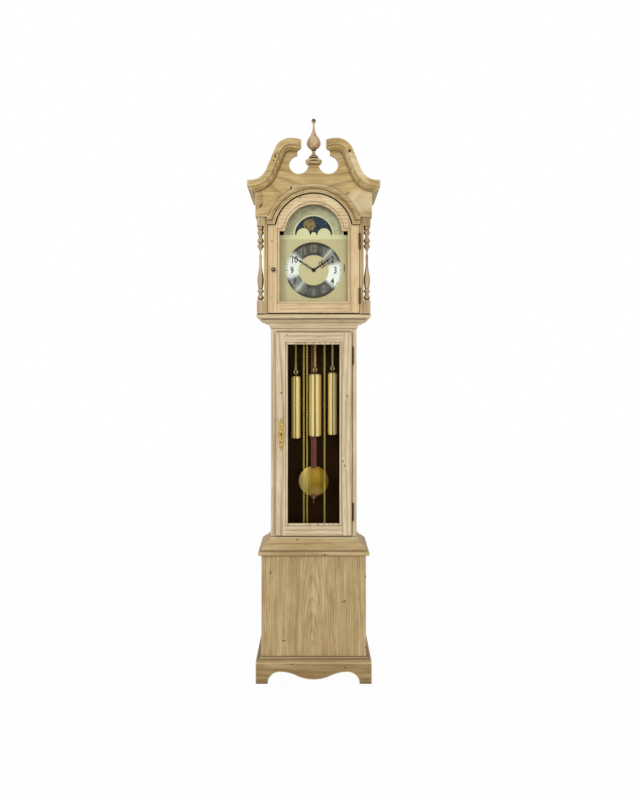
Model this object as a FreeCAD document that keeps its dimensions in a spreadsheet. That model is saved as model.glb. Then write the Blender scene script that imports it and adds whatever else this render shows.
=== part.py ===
"""Longcase clock with a swan-neck hood, glazed trunk door, three weights on chains and a bracket plinth.

The front faces -Y, the clock stands on z = 0 and its bounding box is centred on the Z axis.
"""
import FreeCAD, Part
import math
import os
import re
import Sketcher

os.makedirs("parts", exist_ok=True)

V = FreeCAD.Vector

SIDES = ("left", "centre", "right")

SIZES = {
    # boards
    "board": 15,
    "back_thickness": 8,
    "frame_thickness": 18,
    "floor_thickness": 12,
    "roof_thickness": 12,
    "seat_thickness": 18,
    "overrun": 5,
    # plan of the case
    "waist_width": 307,
    "waist_depth": 174,
    "base_projection": 31,
    "lip_projection": 43,
    "plinth_projection": 49.5,
    "cove_projection": 30,
    "bullnose_projection": 47.5,
    "hood_projection": 21.5,
    "frieze_projection": 50.5,
    "cornice_overhang": 26.5,
    # heights, from the floor up
    "plinth_height": 72,
    "plinth_moulding_height": 15,
    "base_height": 357,
    "lip_height": 16,
    "base_moulding_height": 42,
    "waist_height": 746,
    "cove_height": 25.5,
    "cove_step_height": 5.5,
    "bullnose_height": 17,
    "column_height": 338,
    "frieze_height": 121,
    # plinth
    "foot_width": 42,
    "scallop_height": 42,
    "scallop_peak_x": 119,
    "drop_height": 15,
    "base_skirt": 24,
    "moulding_fillet": 3,
    # base moulding
    "lip_step_width": 9,
    # trunk door
    "waist_door_width": 272.4,
    "waist_door_bottom_margin": 5,
    "waist_door_top_margin": 15,
    "waist_door_lip": 9,
    "waist_door_overlap": 8.2,
    "waist_door_depth": 12,
    "waist_door_stile": 34.7,
    "door_corner_radius": 6,
    "lip_rounding": 4,
    "bead_width": 9.3,
    "bead_setback": 1.5,
    "bead_depth": 8,
    "bead_rounding": 3,
    "door_clearance": 1.5,
    "glass_thickness": 3,
    "glass_clearance": 0.3,
    # hinges
    "knuckle_radius": 2.4,
    "hinge_pin_radius": 1.2,
    "pin_clearance": 0.05,
    "leaf_thickness": 1,
    "leaf_depth": 14,
    "hinge_gap": 0.4,
    "hinge_end_gap": 0.3,
    "hood_hinge_height": 56,
    "hood_hinge_margin": 31,
    "waist_hinge_height": 62,
    "waist_hinge_margin": 53,
    "hood_pin_proud": 3,
    "waist_pin_gap": 3.4,
    "waist_pin_proud": 3.4,
    # escutcheon
    "escutcheon_x": 115,
    "escutcheon_height_above_sill": 361,
    "escutcheon_height": 117,
    "escutcheon_width": 20,
    "escutcheon_thickness": 1.5,
    "keyhole_radius": 2.2,
    "keyhole_slot": 1.8,
    "keyhole_height": 9,
    # hood front
    "hood_setback": 4,
    "post_width": 12.5,
    "hood_door_gap": 2.4,
    "hood_door_thickness": 17.5,
    "hood_door_lift": 2.4,
    "arch_centre_height": 284,
    "board_arch_radius": 139,
    "hood_door_arch_radius": 135,
    "hood_door_shoulder": 26.7,
    "hood_opening_width": 239,
    "hood_opening_bottom": 42.5,
    "hood_opening_shoulder": 5,
    "hood_opening_radius": 99,
    "knob_x": 140.4,
    "knob_z": 152,
    "knob_radius": 7.5,
    "knob_length": 16,
    "column_square": 24,
    "column_setback": 2,
    "column_bottom_block": 46,
    "column_top_block": 31,
    # scroll board and its mouldings
    "scroll_board_thickness": 15,
    "ear_bottom": 28,
    "arch_moulding_width": 26,
    "arch_moulding_proud": 10,
    "swan_width": 35,
    "swan_hidden_width": 14,
    "swan_cove_radius": 60,
    "swan_slope": 68,
    "scroll_radius": 61.2,
    "scroll_x": 79,
    "scroll_rise": 84,
    "scroll_tip_x": 36,
    "scroll_tip_drop": 8.8,
    "scroll_end_x": 43,
    "cutout_radius": 33.5,
    "cutout_x": 52,
    "cutout_rise": 62,
    "finial_plinth_half": 19,
    "finial_plinth_rise": 62.7,
    "board_end_x": 57,
    "finial_height": 161,
    "finial_radius": 28.5,
    # dial
    "dial_width": 250,
    "dial_square_height": 250,
    "dial_setback": 43,
    "dial_thickness": 1.5,
    "dial_arch_radius": 107,
    "dial_centre_height": 158,
    "moon_aperture_radius": 67,
    "moon_hump_x": 37.3,
    "moon_hump_radius": 23.6,
    "moon_centre_hump_radius": 9.7,
    "moon_disc_radius": 72,
    "moon_disc_gap": 0.4,
    "moon_disc_thickness": 1,
    "moon_stud_radius": 2,
    "moon_stud_head_radius": 4,
    "chapter_radius": 100,
    "chapter_inner_radius": 54,
    "chapter_thickness": 1,
    "dial_foot_radius": 3,
    "dial_foot_x": 70,
    "dial_foot_drop": 55,
    "dial_foot_rise": 45,
    # hands
    "hand_gap": 0.6,
    "hand_thickness": 0.8,
    "hand_hub_radius": 7,
    "hour_hand_length": 71.5,
    "minute_hand_length": 98,
    "hour_hand_angle": 55,
    "minute_hand_angle": 303,
    "arbor_radius": 2.2,
    "pipe_radius": 3.6,
    "hand_nut_radius": 4,
    "hand_nut_thickness": 3,
    # chime lever
    "lever_x": 109,
    "lever_z": 166,
    "lever_travel": 28,
    "lever_slot_width": 2.4,
    "lever_width": 1.8,
    "lever_reach": 5,
    "lever_head_width": 4,
    "lever_shoe_width": 8,
    "lever_gap": 0.3,
    # movement
    "seat_drop": 100,
    "seat_front_depth": 40,
    "seat_rear_depth": 30,
    "plate_thickness": 2.5,
    "plate_left_width": 80,
    "plate_right_width": 84,
    "plate_height": 143,
    "front_plate_depth": 32,
    "back_plate_depth": 24,
    "pillar_radius": 4,
    "pillar_inset": 6,
    "train_clearance": 0.05,
    # chains
    "chain_y": -2,
    "sprocket_pitch_radius": 14.5,
    "sprocket_height": 28,
    "sprocket_left_x": -50.5,
    "sprocket_centre_x": -9.5,
    "sprocket_right_x": 54,
    "sprocket_arbor_radius": 3,
    "sprocket_flange_radius": 18,
    "sprocket_flange_thickness": 2,
    "chain_radius": 3,
    "chain_clearance": 0.3,
    "chain_slot": 12,
    "free_strand_length": 1048,
    "end_ring_radius": 4,
    "end_ring_wire_radius": 1.2,
    # weights
    "weight_length": 228,
    "weight_radius": 17.5,
    "centre_weight_radius": 23.5,
    "left_weight_drop": 324,
    "centre_weight_drop": 316,
    "right_weight_drop": 311,
    "weight_cap": 5,
    "hook_stem_radius": 2,
    "hook_stem_height": 9,
    "hook_ring_radius": 6,
    "hook_wire_radius": 1.6,
    # pendulum
    "pendulum_y": 40,
    "suspension_height": 138,
    "stud_radius": 1.2,
    "stick_top_drop": 40,
    "stick_width": 20,
    "stick_thickness": 8,
    "pendulum_length": 805,
    "bob_radius": 55,
    "bob_thickness": 24,
    "bob_rim_thickness": 3,
    "bob_slot_clearance": 0.3,
    "stick_below_bob": 4,
    "rating_rod_radius": 1.6,
    "rating_rod_length": 24,
    "rating_nut_radius": 7,
    "rating_nut_height": 5,
    "spring_thickness": 0.8,
    "eye_half_width": 3,
    "eye_height": 8,
    "cock_width": 20,
    "cock_thickness": 4,
    "cock_reach": 24,
    "crutch_width": 6,
    "crutch_thickness": 2,
    "crutch_length": 62,
    "crutch_prong_width": 2,
    "crutch_gap": 0.3,
    "crutch_gap_behind": 5,
    "anchor_width": 36,
    "anchor_height": 9,
    "anchor_thickness": 3,
    # chime rods
    "rod_radius": 2,
    "rod_length": 200,
    "rod_pitch": 20,
    "rod_count": 5,
    "rod_block_height": 30,
    "rod_block_depth": 16,
    "rod_block_rise": 46,
}

PLACES = {
    "base_bottom_z": "plinth_height + plinth_moulding_height",
    "base_top_z": "base_bottom_z + base_height",
    "lip_top_z": "base_top_z + lip_height",
    "waist_bottom_z": "lip_top_z + base_moulding_height",
    "waist_top_z": "waist_bottom_z + waist_height",
    "cove_top_z": "waist_top_z + cove_height",
    "hood_base_z": "cove_top_z + cove_step_height",
    "hood_floor_z": "hood_base_z + bullnose_height",
    "frieze_z": "hood_floor_z + column_height",
    "roof_z": "frieze_z + frieze_height",
    "board_bottom_z": "plinth_height - base_skirt",
    "back_y": "(waist_depth + frieze_projection + cornice_overhang) / 2",
    "waist_front_y": "back_y - waist_depth",
    "base_front_y": "waist_front_y - base_projection",
    "plinth_front_y": "waist_front_y - plinth_projection",
    "frieze_front_y": "waist_front_y - frieze_projection",
    "hood_front_y": "frieze_front_y + hood_setback",
    "waist_half": "waist_width / 2",
    "base_half": "waist_half + base_projection",
    "plinth_half": "waist_half + plinth_projection",
    "hood_half": "waist_half + hood_projection",
    "frieze_half": "waist_half + frieze_projection",
    "inner_back_y": "back_y - back_thickness",
    "scallop_dx": "scallop_peak_x / 2",
    "scallop_dz": "(scallop_height - drop_height) / 2",
    "scallop_ogee_radius": "(scallop_dx ^ 2 + scallop_dz ^ 2) / (2 * scallop_dz)",
    "arch_centre_z": "hood_floor_z + arch_centre_height",
    "dial_front_y": "hood_front_y + dial_setback",
    "dial_back_y": "dial_front_y + dial_thickness",
    "dial_centre_z": "hood_floor_z + dial_centre_height",
    "seat_z": "dial_centre_z - seat_drop",
    "dial_bottom_z": "dial_centre_z - dial_square_height / 2",
    "ear_z": "arch_centre_z + ear_bottom",
    "seat_top_z": "seat_z + seat_thickness",
    "plate_top_z": "seat_top_z + plate_height",
    "sprocket_z": "seat_top_z + sprocket_height",
    "free_end_z": "sprocket_z - free_strand_length",
    "rod_block_z": "seat_z + rod_block_rise",
    "suspension_z": "seat_z + suspension_height",
    "bob_z": "suspension_z - pendulum_length",
    "post_inner_x": "hood_half - post_width",
    "hood_door_half": "post_inner_x - hood_door_gap",
    "hood_pin_x": "post_inner_x - hood_door_gap / 2",
    "hood_pin_y": "hood_front_y - hood_pin_proud",
    "waist_door_half": "waist_door_width / 2",
    "waist_door_z": "waist_bottom_z + waist_door_bottom_margin",
    "waist_door_top_z": "waist_top_z - waist_door_top_margin",
    "waist_door_front_y": "waist_front_y - waist_door_lip",
    "waist_pin_x": "waist_door_half + waist_pin_gap",
    "waist_pin_y": "waist_front_y - waist_pin_proud",
    "waist_body_half": "waist_door_half - waist_door_overlap - door_clearance",
    "waist_body_z": "waist_door_z + waist_door_overlap + door_clearance",
    "waist_body_top_z": "waist_door_top_z - waist_door_overlap - door_clearance",
}

# turned column between its blocks: height share, radius share, form of the run that ends here
COLUMN_SHARES = (
    (0.000, 0.62, "line"),
    (0.020, 0.76, "line"),
    (0.060, 0.76, "bead"),
    (0.075, 0.60, "line"),
    (0.100, 0.60, "hollow"),
    (0.112, 0.76, "line"),
    (0.140, 0.76, "bead"),
    (0.155, 0.58, "line"),
    (0.345, 0.80, "belly"),
    (0.600, 0.42, "sink"),
    (0.700, 0.56, "hollow"),
    (0.712, 0.74, "line"),
    (0.752, 0.74, "bead"),
    (0.768, 0.54, "line"),
    (0.782, 0.76, "line"),
    (0.826, 0.76, "bead"),
    (0.842, 0.56, "line"),
    (0.882, 0.62, "hollow"),
    (0.894, 0.76, "line"),
    (0.934, 0.76, "bead"),
    (0.950, 0.62, "line"),
    (0.968, 0.88, "line"),
    (1.000, 0.88, "line"),
)

# turned finial from its foot to its tip
FINIAL_SHARES = (
    (0.000, 0.78, "line"),
    (0.030, 0.97, "line"),
    (0.052, 1.00, "line"),
    (0.086, 1.00, "line"),
    (0.094, 0.62, "line"),
    (0.108, 0.50, "line"),
    (0.164, 0.50, "bead"),
    (0.172, 0.56, "line"),
    (0.258, 0.20, "hollow"),
    (0.275, 0.20, "line"),
    (0.318, 0.33, "hollow"),
    (0.342, 0.33, "line"),
    (0.452, 0.86, "round"),
    (0.567, 0.64, "swell"),
    (0.712, 0.227, "sink"),
    (0.891, 0.119, "sink"),
    (0.902, 0.140, "line"),
)

# radius of the arc of a turned run, as a share of the run; below zero it is hollow
RUN_SHARES = {"hollow": -1.1, "round": 0.9, "swell": 1.6, "belly": 2.4, "sink": -3.0}
# how far a turned bead stands out, as a share of the turning's radius
BEAD_SHARE = 0.2

# radius of a moulding's curve, as a share of the height it covers
OGEE_SHARE = 0.62
COVE_SHARE = 1.1
HOOD_COVE_SHARE = 1.15
# finial's ball and the neck under it
FINIAL_BALL_SHARE = 0.29
FINIAL_NECK_SHARE = 1.2
# weights' flat ends, hands' open loops, knuckles of a hinge
WEIGHT_END_SHARE = 0.55
HAND_LOOP_SHARE = 0.62
HAND_BORE_SHARE = 0.9
KNUCKLES = 5
# how near two edges lie when they count as one place
NEAR = 0.001

doc = FreeCAD.newDocument("LongcaseClock")
NODES = {}


def make_sheet(name, cells):
    """Add a spreadsheet with one named cell a row."""
    sheet = doc.addObject("Spreadsheet::Sheet", name)
    for row, (alias, content) in enumerate(cells.items(), start=1):
        sheet.set(f"A{row}", alias)
        sheet.set(f"B{row}", str(content))
        sheet.setAlias(f"B{row}", alias)
    doc.recompute()
    return sheet


def bind(text):
    """Write an expression of plain names as references to the two sheets."""
    def reference(match):
        word = match.group(0)
        if word in SIZES:
            return "Sizes." + word
        if word in PLACES:
            return "Places." + word
        return word
    return re.sub(r"[a-z][a-z_]*", reference, str(text))


sizes_sheet = make_sheet("Sizes", SIZES)
places_sheet = make_sheet("Places", {name: "=" + bind(text) for name, text in PLACES.items()})


def value(text):
    """Number that an expression of plain names has now."""
    return float(sizes_sheet.evalExpression(bind(text)))


def keep(label, thing):
    """Name a finished sub-part."""
    thing.Label = label
    NODES[label] = thing
    return thing


def box(name, x, y, z):
    """Box between pairs of bound places along each axis."""
    block = doc.addObject("Part::Box", name)
    for side, axis, (low, high) in (("Length", "x", x), ("Width", "y", y), ("Height", "z", z)):
        block.setExpression(side, bind(f"({high}) - ({low})"))
        block.setExpression(f"Placement.Base.{axis}", bind(low))
    return block


def cylinder(name, radius, start, length, axis):
    """Cylinder from a bound start point along one axis."""
    rod = doc.addObject("Part::Cylinder", name)
    turns = {"x": (V(0, 1, 0), 90), "y": (V(1, 0, 0), -90), "z": (V(0, 0, 1), 0)}
    rod.Placement = FreeCAD.Placement(V(0, 0, 0), FreeCAD.Rotation(*turns[axis]))
    rod.setExpression("Radius", bind(radius))
    rod.setExpression("Height", bind(length))
    for letter, place in zip("xyz", start):
        rod.setExpression(f"Placement.Base.{letter}", bind(place))
    return rod


def fuse(name, parts):
    """Join pieces into one solid."""
    joined = doc.addObject("Part::MultiFuse", name)
    joined.Shapes = parts
    joined.Refine = True
    return joined


def cut(name, base, tools):
    """Take tools away from a base."""
    removed = tools[0] if len(tools) == 1 else fuse(name + "Tools", tools)
    result = doc.addObject("Part::Cut", name)
    result.Base = base
    result.Tool = removed
    result.Refine = True
    return result


def group(name, parts):
    """Several separate solids in one sub-part."""
    bundle = doc.addObject("Part::Compound", name)
    bundle.Links = parts
    return bundle


def mirror_pair(name, left):
    """A piece and its twin on the other side of the middle plane."""
    twin = doc.addObject("Part::Mirroring", name + "Twin")
    twin.Source = left
    twin.Normal = V(1, 0, 0)
    return group(name, [left, twin])


def add_sketch(body, name, plane, offset="0", shift=("0", "0")):
    """Sketch on one of the body's own origin planes."""
    sketch = body.newObject("Sketcher::SketchObject", name)
    origin_plane = next(item for item in body.Origin.OriginFeatures if item.Role == plane)
    sketch.AttachmentSupport = [(origin_plane, "")]
    sketch.MapMode = "FlatFace"
    sketch.setExpression("AttachmentOffset.Base.x", bind(shift[0]))
    sketch.setExpression("AttachmentOffset.Base.y", bind(shift[1]))
    sketch.setExpression("AttachmentOffset.Base.z", bind(offset))
    return sketch


def arc_between(start, end, radius):
    """Minor arc, turning left where the radius is positive and right where it is negative."""
    chord = end - start
    middle = (start + end) * 0.5
    height = math.sqrt(max(radius * radius - chord.Length ** 2 / 4, 0))
    left = V(-chord.y, chord.x, 0).normalize()
    centre = middle + left * (height if radius > 0 else -height)
    outward = middle - centre
    if outward.Length < abs(radius) * 1e-6:
        outward = -left if radius > 0 else left
    apex = centre + outward.normalize() * abs(radius)
    return Part.Arc(start, apex, end)


def draw(sketch, outline):
    """Closed outline of (place, place) or (place, place, radius of the arc that ends here)."""
    corners = [V(value(point[0]), value(point[1]), 0) for point in outline]
    first = sketch.GeometryCount
    count = len(outline)
    rules = []
    bound = []
    for index, point in enumerate(outline):
        start = corners[index - 1]
        end = corners[index]
        if len(point) == 2:
            sketch.addGeometry(Part.LineSegment(start, end), False)
            continue
        arc = arc_between(start, end, value(point[2]))
        sketch.addGeometry(arc, False)
    for index, point in enumerate(outline):
        edge = first + index
        following = first + (index + 1) % count
        ends_at_last = len(point) == 2 or value(point[2]) > 0
        next_point = outline[(index + 1) % count]
        starts_at_first = len(next_point) == 2 or value(next_point[2]) > 0
        here = 2 if ends_at_last else 1
        there = 1 if starts_at_first else 2
        rules.append(Sketcher.Constraint("Coincident", edge, here, following, there))
        rules.append(Sketcher.Constraint("DistanceX", -1, 1, edge, here, corners[index].x))
        bound.append((len(rules) - 1, point[0]))
        rules.append(Sketcher.Constraint("DistanceY", -1, 1, edge, here, corners[index].y))
        bound.append((len(rules) - 1, point[1]))
        if len(point) == 3:
            rules.append(Sketcher.Constraint("Radius", edge, abs(value(point[2]))))
            bound.append((len(rules) - 1, f"abs({point[2]})"))
    already = sketch.ConstraintCount
    sketch.addConstraint(rules)
    for place, text in bound:
        sketch.setExpression(f"Constraints[{already + place}]", bind(text))


def draw_circle(sketch, centre, radius):
    """Full circle at a bound place."""
    middle = V(value(centre[0]), value(centre[1]), 0)
    edge = sketch.addGeometry(Part.Circle(middle, V(0, 0, 1), value(radius)), False)
    already = sketch.ConstraintCount
    sketch.addConstraint([
        Sketcher.Constraint("DistanceX", -1, 1, edge, 3, middle.x),
        Sketcher.Constraint("DistanceY", -1, 1, edge, 3, middle.y),
        Sketcher.Constraint("Radius", edge, value(radius)),
    ])
    for index, text in enumerate((centre[0], centre[1], radius)):
        sketch.setExpression(f"Constraints[{already + index}]", bind(text))


def pad(body, name, sketch, length, back=False):
    """Pad a sketch along its normal, or against it."""
    feature = body.newObject("PartDesign::Pad", name)
    feature.Profile = sketch
    feature.setExpression("Length", bind(length))
    feature.Reversed = back
    return feature


def flat_plate(name, front_y, thickness, outlines, circles=()):
    """Upright plate cut to outlines of (x, z), its front at one depth."""
    body = doc.addObject("PartDesign::Body", name)
    sketch = add_sketch(body, name + "Outline", "XZ_Plane", f"-({front_y})")
    for outline in outlines:
        draw(sketch, outline)
    for centre, radius in circles:
        draw_circle(sketch, centre, radius)
    pad(body, name + "Pad", sketch, thickness, back=True)
    return body


def run_radius(form, run, radius):
    """Radius of the arc of a turned run."""
    if form == "bead":
        bulge = f"({BEAD_SHARE} * {radius})"
        return f"(({run}) ^ 2 / 4 + {bulge} ^ 2) / (2 * {bulge})"
    return f"{RUN_SHARES[form]} * ({run})"


def turned_outline(table, foot, height, radius):
    """Half outline of a turning from a table of height and radius shares."""
    outline = [("0", foot)]
    before = None
    for height_share, radius_share, form in table:
        place = (f"{radius_share} * {radius}", f"{foot} + {height_share} * ({height})")
        if form == "line":
            outline.append(place)
        else:
            rise = height_share - before[0]
            reach = abs(radius_share - before[1])
            chord = f"sqrt(({rise} * ({height})) ^ 2 + ({reach} * {radius}) ^ 2)"
            outline.append(place + (run_radius(form, chord, radius),))
        before = (height_share, radius_share)
    return outline


def revolve(body, name, sketch, axis):
    """Turn a sketch a full round about one of its own axes."""
    feature = body.newObject("PartDesign::Revolution", name)
    feature.Profile = sketch
    feature.ReferenceAxis = (sketch, [axis])
    feature.Angle = 360
    return feature


def turned_upright(name, centre, outline):
    """Turning about an upright axis, outline in (radius, z)."""
    body = doc.addObject("PartDesign::Body", name)
    sketch = add_sketch(body, name + "Outline", "XZ_Plane", f"-({centre[1]})", (centre[0], "0"))
    draw(sketch, outline)
    revolve(body, name + "Turning", sketch, "V_Axis")
    return body


def turned_forward(name, centre, outline):
    """Turning about an axis along Y through (x, z), outline in (y, radius)."""
    body = doc.addObject("PartDesign::Body", name)
    sketch = add_sketch(body, name + "Outline", "YZ_Plane", centre[0], ("0", centre[1]))
    draw(sketch, outline)
    revolve(body, name + "Turning", sketch, "H_Axis")
    return body


def surround(name, inner, profile):
    """Moulding mitred round the front and both sides; profile in (distance out from the trunk, z)."""
    body = doc.addObject("PartDesign::Body", name)
    path = add_sketch(body, name + "Path", "XY_Plane", profile[0][1])
    half = f"waist_half + ({inner})"
    front = f"waist_front_y - ({inner})"
    places = ((f"-({half})", "back_y"), (f"-({half})", front), (half, front), (half, "back_y"))
    corners = [V(value(x), value(y), 0) for x, y in places]
    for start, end in zip(corners, corners[1:]):
        path.addGeometry(Part.LineSegment(start, end), False)
    rules = [Sketcher.Constraint("Coincident", edge, 2, edge + 1, 1) for edge in (0, 1)]
    bound = []
    for edge, end, (x, y), corner in ((0, 1, places[0], corners[0]), (0, 2, places[1], corners[1]),
                                      (1, 2, places[2], corners[2]), (2, 2, places[3], corners[3])):
        rules.append(Sketcher.Constraint("DistanceX", -1, 1, edge, end, corner.x))
        bound.append((len(rules) - 1, x))
        rules.append(Sketcher.Constraint("DistanceY", -1, 1, edge, end, corner.y))
        bound.append((len(rules) - 1, y))
    path.addConstraint(rules)
    for index, text in bound:
        path.setExpression(f"Constraints[{index}]", bind(text))
    section = add_sketch(body, name + "Section", "XZ_Plane", "-back_y")
    outline = []
    for point in profile:
        place = (f"-(waist_half + {point[0]})", point[1])
        if len(point) == 3:
            place += (f"-({point[2]})",)
        outline.append(place)
    draw(section, outline)
    pipe = body.newObject("PartDesign::AdditivePipe", name + "Run")
    pipe.Profile = section
    pipe.Spine = (path, ["Edge1", "Edge2", "Edge3"])
    pipe.Transition = "Right corner"
    return body


def make_plinth():
    """Bracket plinth with a shaped apron, and the moulding on its top edge."""
    thickness = "plinth_projection - base_projection"
    foot = "plinth_half - foot_width"
    apron = [
        ("-plinth_half", "plinth_height"),
        ("-plinth_half", "0"),
        (f"-({foot})", "0"),
        ("-scallop_peak_x", "scallop_height", "-scallop_height"),
        ("-scallop_dx", "scallop_height - scallop_dz", "-scallop_ogee_radius"),
        ("0", "drop_height", "scallop_ogee_radius"),
        ("scallop_dx", "scallop_height - scallop_dz", "scallop_ogee_radius"),
        ("scallop_peak_x", "scallop_height", "-scallop_ogee_radius"),
        (foot, "0", "-scallop_height"),
        ("plinth_half", "0"),
        ("plinth_half", "plinth_height"),
    ]
    keep("plinth_front", flat_plate("PlinthFront", "plinth_front_y", thickness, [apron]))

    side = doc.addObject("PartDesign::Body", "PlinthSide")
    outline = [
        ("base_front_y", "plinth_height"),
        ("base_front_y", "0"),
        ("plinth_front_y + foot_width", "0"),
        ("plinth_front_y + foot_width + scallop_height", "scallop_height", "-scallop_height"),
        ("back_y - foot_width - scallop_height", "scallop_height"),
        ("back_y - foot_width", "0", "-scallop_height"),
        ("back_y", "0"),
        ("back_y", "plinth_height"),
    ]
    sketch = add_sketch(side, "PlinthSideOutline", "YZ_Plane", "-plinth_half")
    draw(sketch, outline)
    pad(side, "PlinthSidePad", sketch, thickness)
    keep("plinth_sides", mirror_pair("PlinthSides", side))

    top = "base_bottom_z"
    ogee_x = "(base_projection + plinth_projection) / 2"
    ogee_z = "plinth_height + moulding_fillet + (plinth_moulding_height - moulding_fillet) / 2"
    swing = f"{OGEE_SHARE} * (plinth_moulding_height - moulding_fillet)"
    profile = [
        ("base_projection", "plinth_height"),
        ("plinth_projection", "plinth_height"),
        ("plinth_projection", "plinth_height + moulding_fillet"),
        (ogee_x, ogee_z, swing),
        ("base_projection + moulding_fillet", top, f"-({swing})"),
        ("base_projection", top),
    ]
    keep("plinth_moulding", surround("PlinthMoulding", "base_projection", profile))


def make_base():
    """Base box, its floor and the lip and cove moulding that carry the trunk."""
    keep("base_front_panel", box(
        "BaseFrontPanel",
        ("-base_half", "base_half"),
        ("base_front_y", "base_front_y + frame_thickness"),
        ("board_bottom_z", "base_top_z"),
    ))
    side = box(
        "BaseSide",
        ("-base_half", "board - base_half"),
        ("base_front_y + frame_thickness", "back_y"),
        ("board_bottom_z", "base_top_z"),
    )
    keep("base_sides", mirror_pair("BaseSides", side))
    keep("floor_board", box(
        "FloorBoard",
        ("board - base_half", "base_half - board"),
        ("base_front_y + frame_thickness", "inner_back_y"),
        ("board_bottom_z", "board_bottom_z + floor_thickness"),
    ))
    nose = "lip_height / 2"
    cove = f"{COVE_SHARE} * base_moulding_height"
    profile = [
        ("-board", "base_top_z"),
        ("lip_projection - lip_height / 2", "base_top_z"),
        ("lip_projection", "base_top_z + lip_height / 2", nose),
        ("lip_projection - lip_height / 2", "lip_top_z", nose),
        ("lip_projection - lip_step_width", "lip_top_z"),
        ("lip_projection - lip_step_width", "lip_top_z + moulding_fillet"),
        ("moulding_fillet", "waist_bottom_z - moulding_fillet", f"-({cove})"),
        ("moulding_fillet", "waist_bottom_z"),
        ("0", "waist_bottom_z"),
        ("0", "lip_top_z"),
        ("-board", "lip_top_z"),
    ]
    keep("base_moulding", surround("BaseMoulding", "-board", profile))


def make_waist():
    """Trunk: front frame round the door opening, sides and the full-height back board."""
    opening = "waist_door_half - waist_door_overlap"
    outer = [
        ("-waist_half", "lip_top_z"),
        ("waist_half", "lip_top_z"),
        ("waist_half", "hood_floor_z"),
        ("-waist_half", "hood_floor_z"),
    ]
    hole = [
        (f"-({opening})", "waist_door_z + waist_door_overlap"),
        (opening, "waist_door_z + waist_door_overlap"),
        (opening, "waist_door_top_z - waist_door_overlap"),
        (f"-({opening})", "waist_door_top_z - waist_door_overlap"),
    ]
    frame = flat_plate("WaistFrontFrame", "waist_front_y", "frame_thickness", [outer, hole])
    keep("waist_front_frame", frame)
    side = box(
        "WaistSide",
        ("-waist_half", "board - waist_half"),
        ("waist_front_y + frame_thickness", "back_y"),
        ("lip_top_z", "seat_z"),
    )
    keep("waist_sides", mirror_pair("WaistSides", side))
    low = "base_half - board"
    middle = "waist_half - board"
    high = "hood_half - board"
    back = [
        (f"-({low})", "board_bottom_z"),
        (low, "board_bottom_z"),
        (low, "base_top_z"),
        (middle, "base_top_z"),
        (middle, "seat_z"),
        (high, "seat_z"),
        (high, "roof_z - roof_thickness"),
        (f"-({high})", "roof_z - roof_thickness"),
        (f"-({high})", "seat_z"),
        (f"-({middle})", "seat_z"),
        (f"-({middle})", "base_top_z"),
        (f"-({low})", "base_top_z"),
    ]
    keep("back_board", flat_plate("BackBoard", "inner_back_y", "back_thickness", [back]))


def make_hood_base():
    """Cove moulding on the trunk, bullnose frame on it and the seat board inside."""
    cove = f"{HOOD_COVE_SHARE} * cove_height"
    profile = [
        ("0", "waist_top_z"),
        ("moulding_fillet", "waist_top_z"),
        ("moulding_fillet", "waist_top_z + moulding_fillet"),
        ("cove_projection - moulding_fillet", "cove_top_z", f"-({cove})"),
        ("cove_projection", "cove_top_z"),
        ("cove_projection", "hood_base_z"),
        ("0", "hood_base_z"),
    ]
    keep("hood_cove_moulding", surround("HoodCoveMoulding", "0", profile))
    round_start = "bullnose_projection - bullnose_height / 2"
    profile = [
        ("0", "hood_base_z"),
        (round_start, "hood_base_z"),
        ("bullnose_projection", "hood_base_z + bullnose_height / 2", "bullnose_height / 2"),
        (round_start, "hood_floor_z", "bullnose_height / 2"),
        ("0", "hood_floor_z"),
    ]
    keep("hood_base_frame", surround("HoodBaseFrame", "0", profile))

    board = box(
        "SeatBoardBlank",
        ("-waist_half", "waist_half"),
        ("-seat_front_depth", "seat_rear_depth"),
        ("seat_z", "seat_top_z"),
    )
    slots = []
    reach = "sprocket_pitch_radius + chain_slot / 2"
    for side in SIDES:
        middle = f"sprocket_{side}_x"
        slots.append(box(
            "SeatSlot" + side.title(),
            (f"{middle} - ({reach})", f"{middle} + {reach}"),
            ("chain_y - chain_slot / 2", "chain_y + chain_slot / 2"),
            ("seat_z - overrun", "seat_top_z + overrun"),
        ))
    keep("seat_board", cut("SeatBoard", board, slots))


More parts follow.
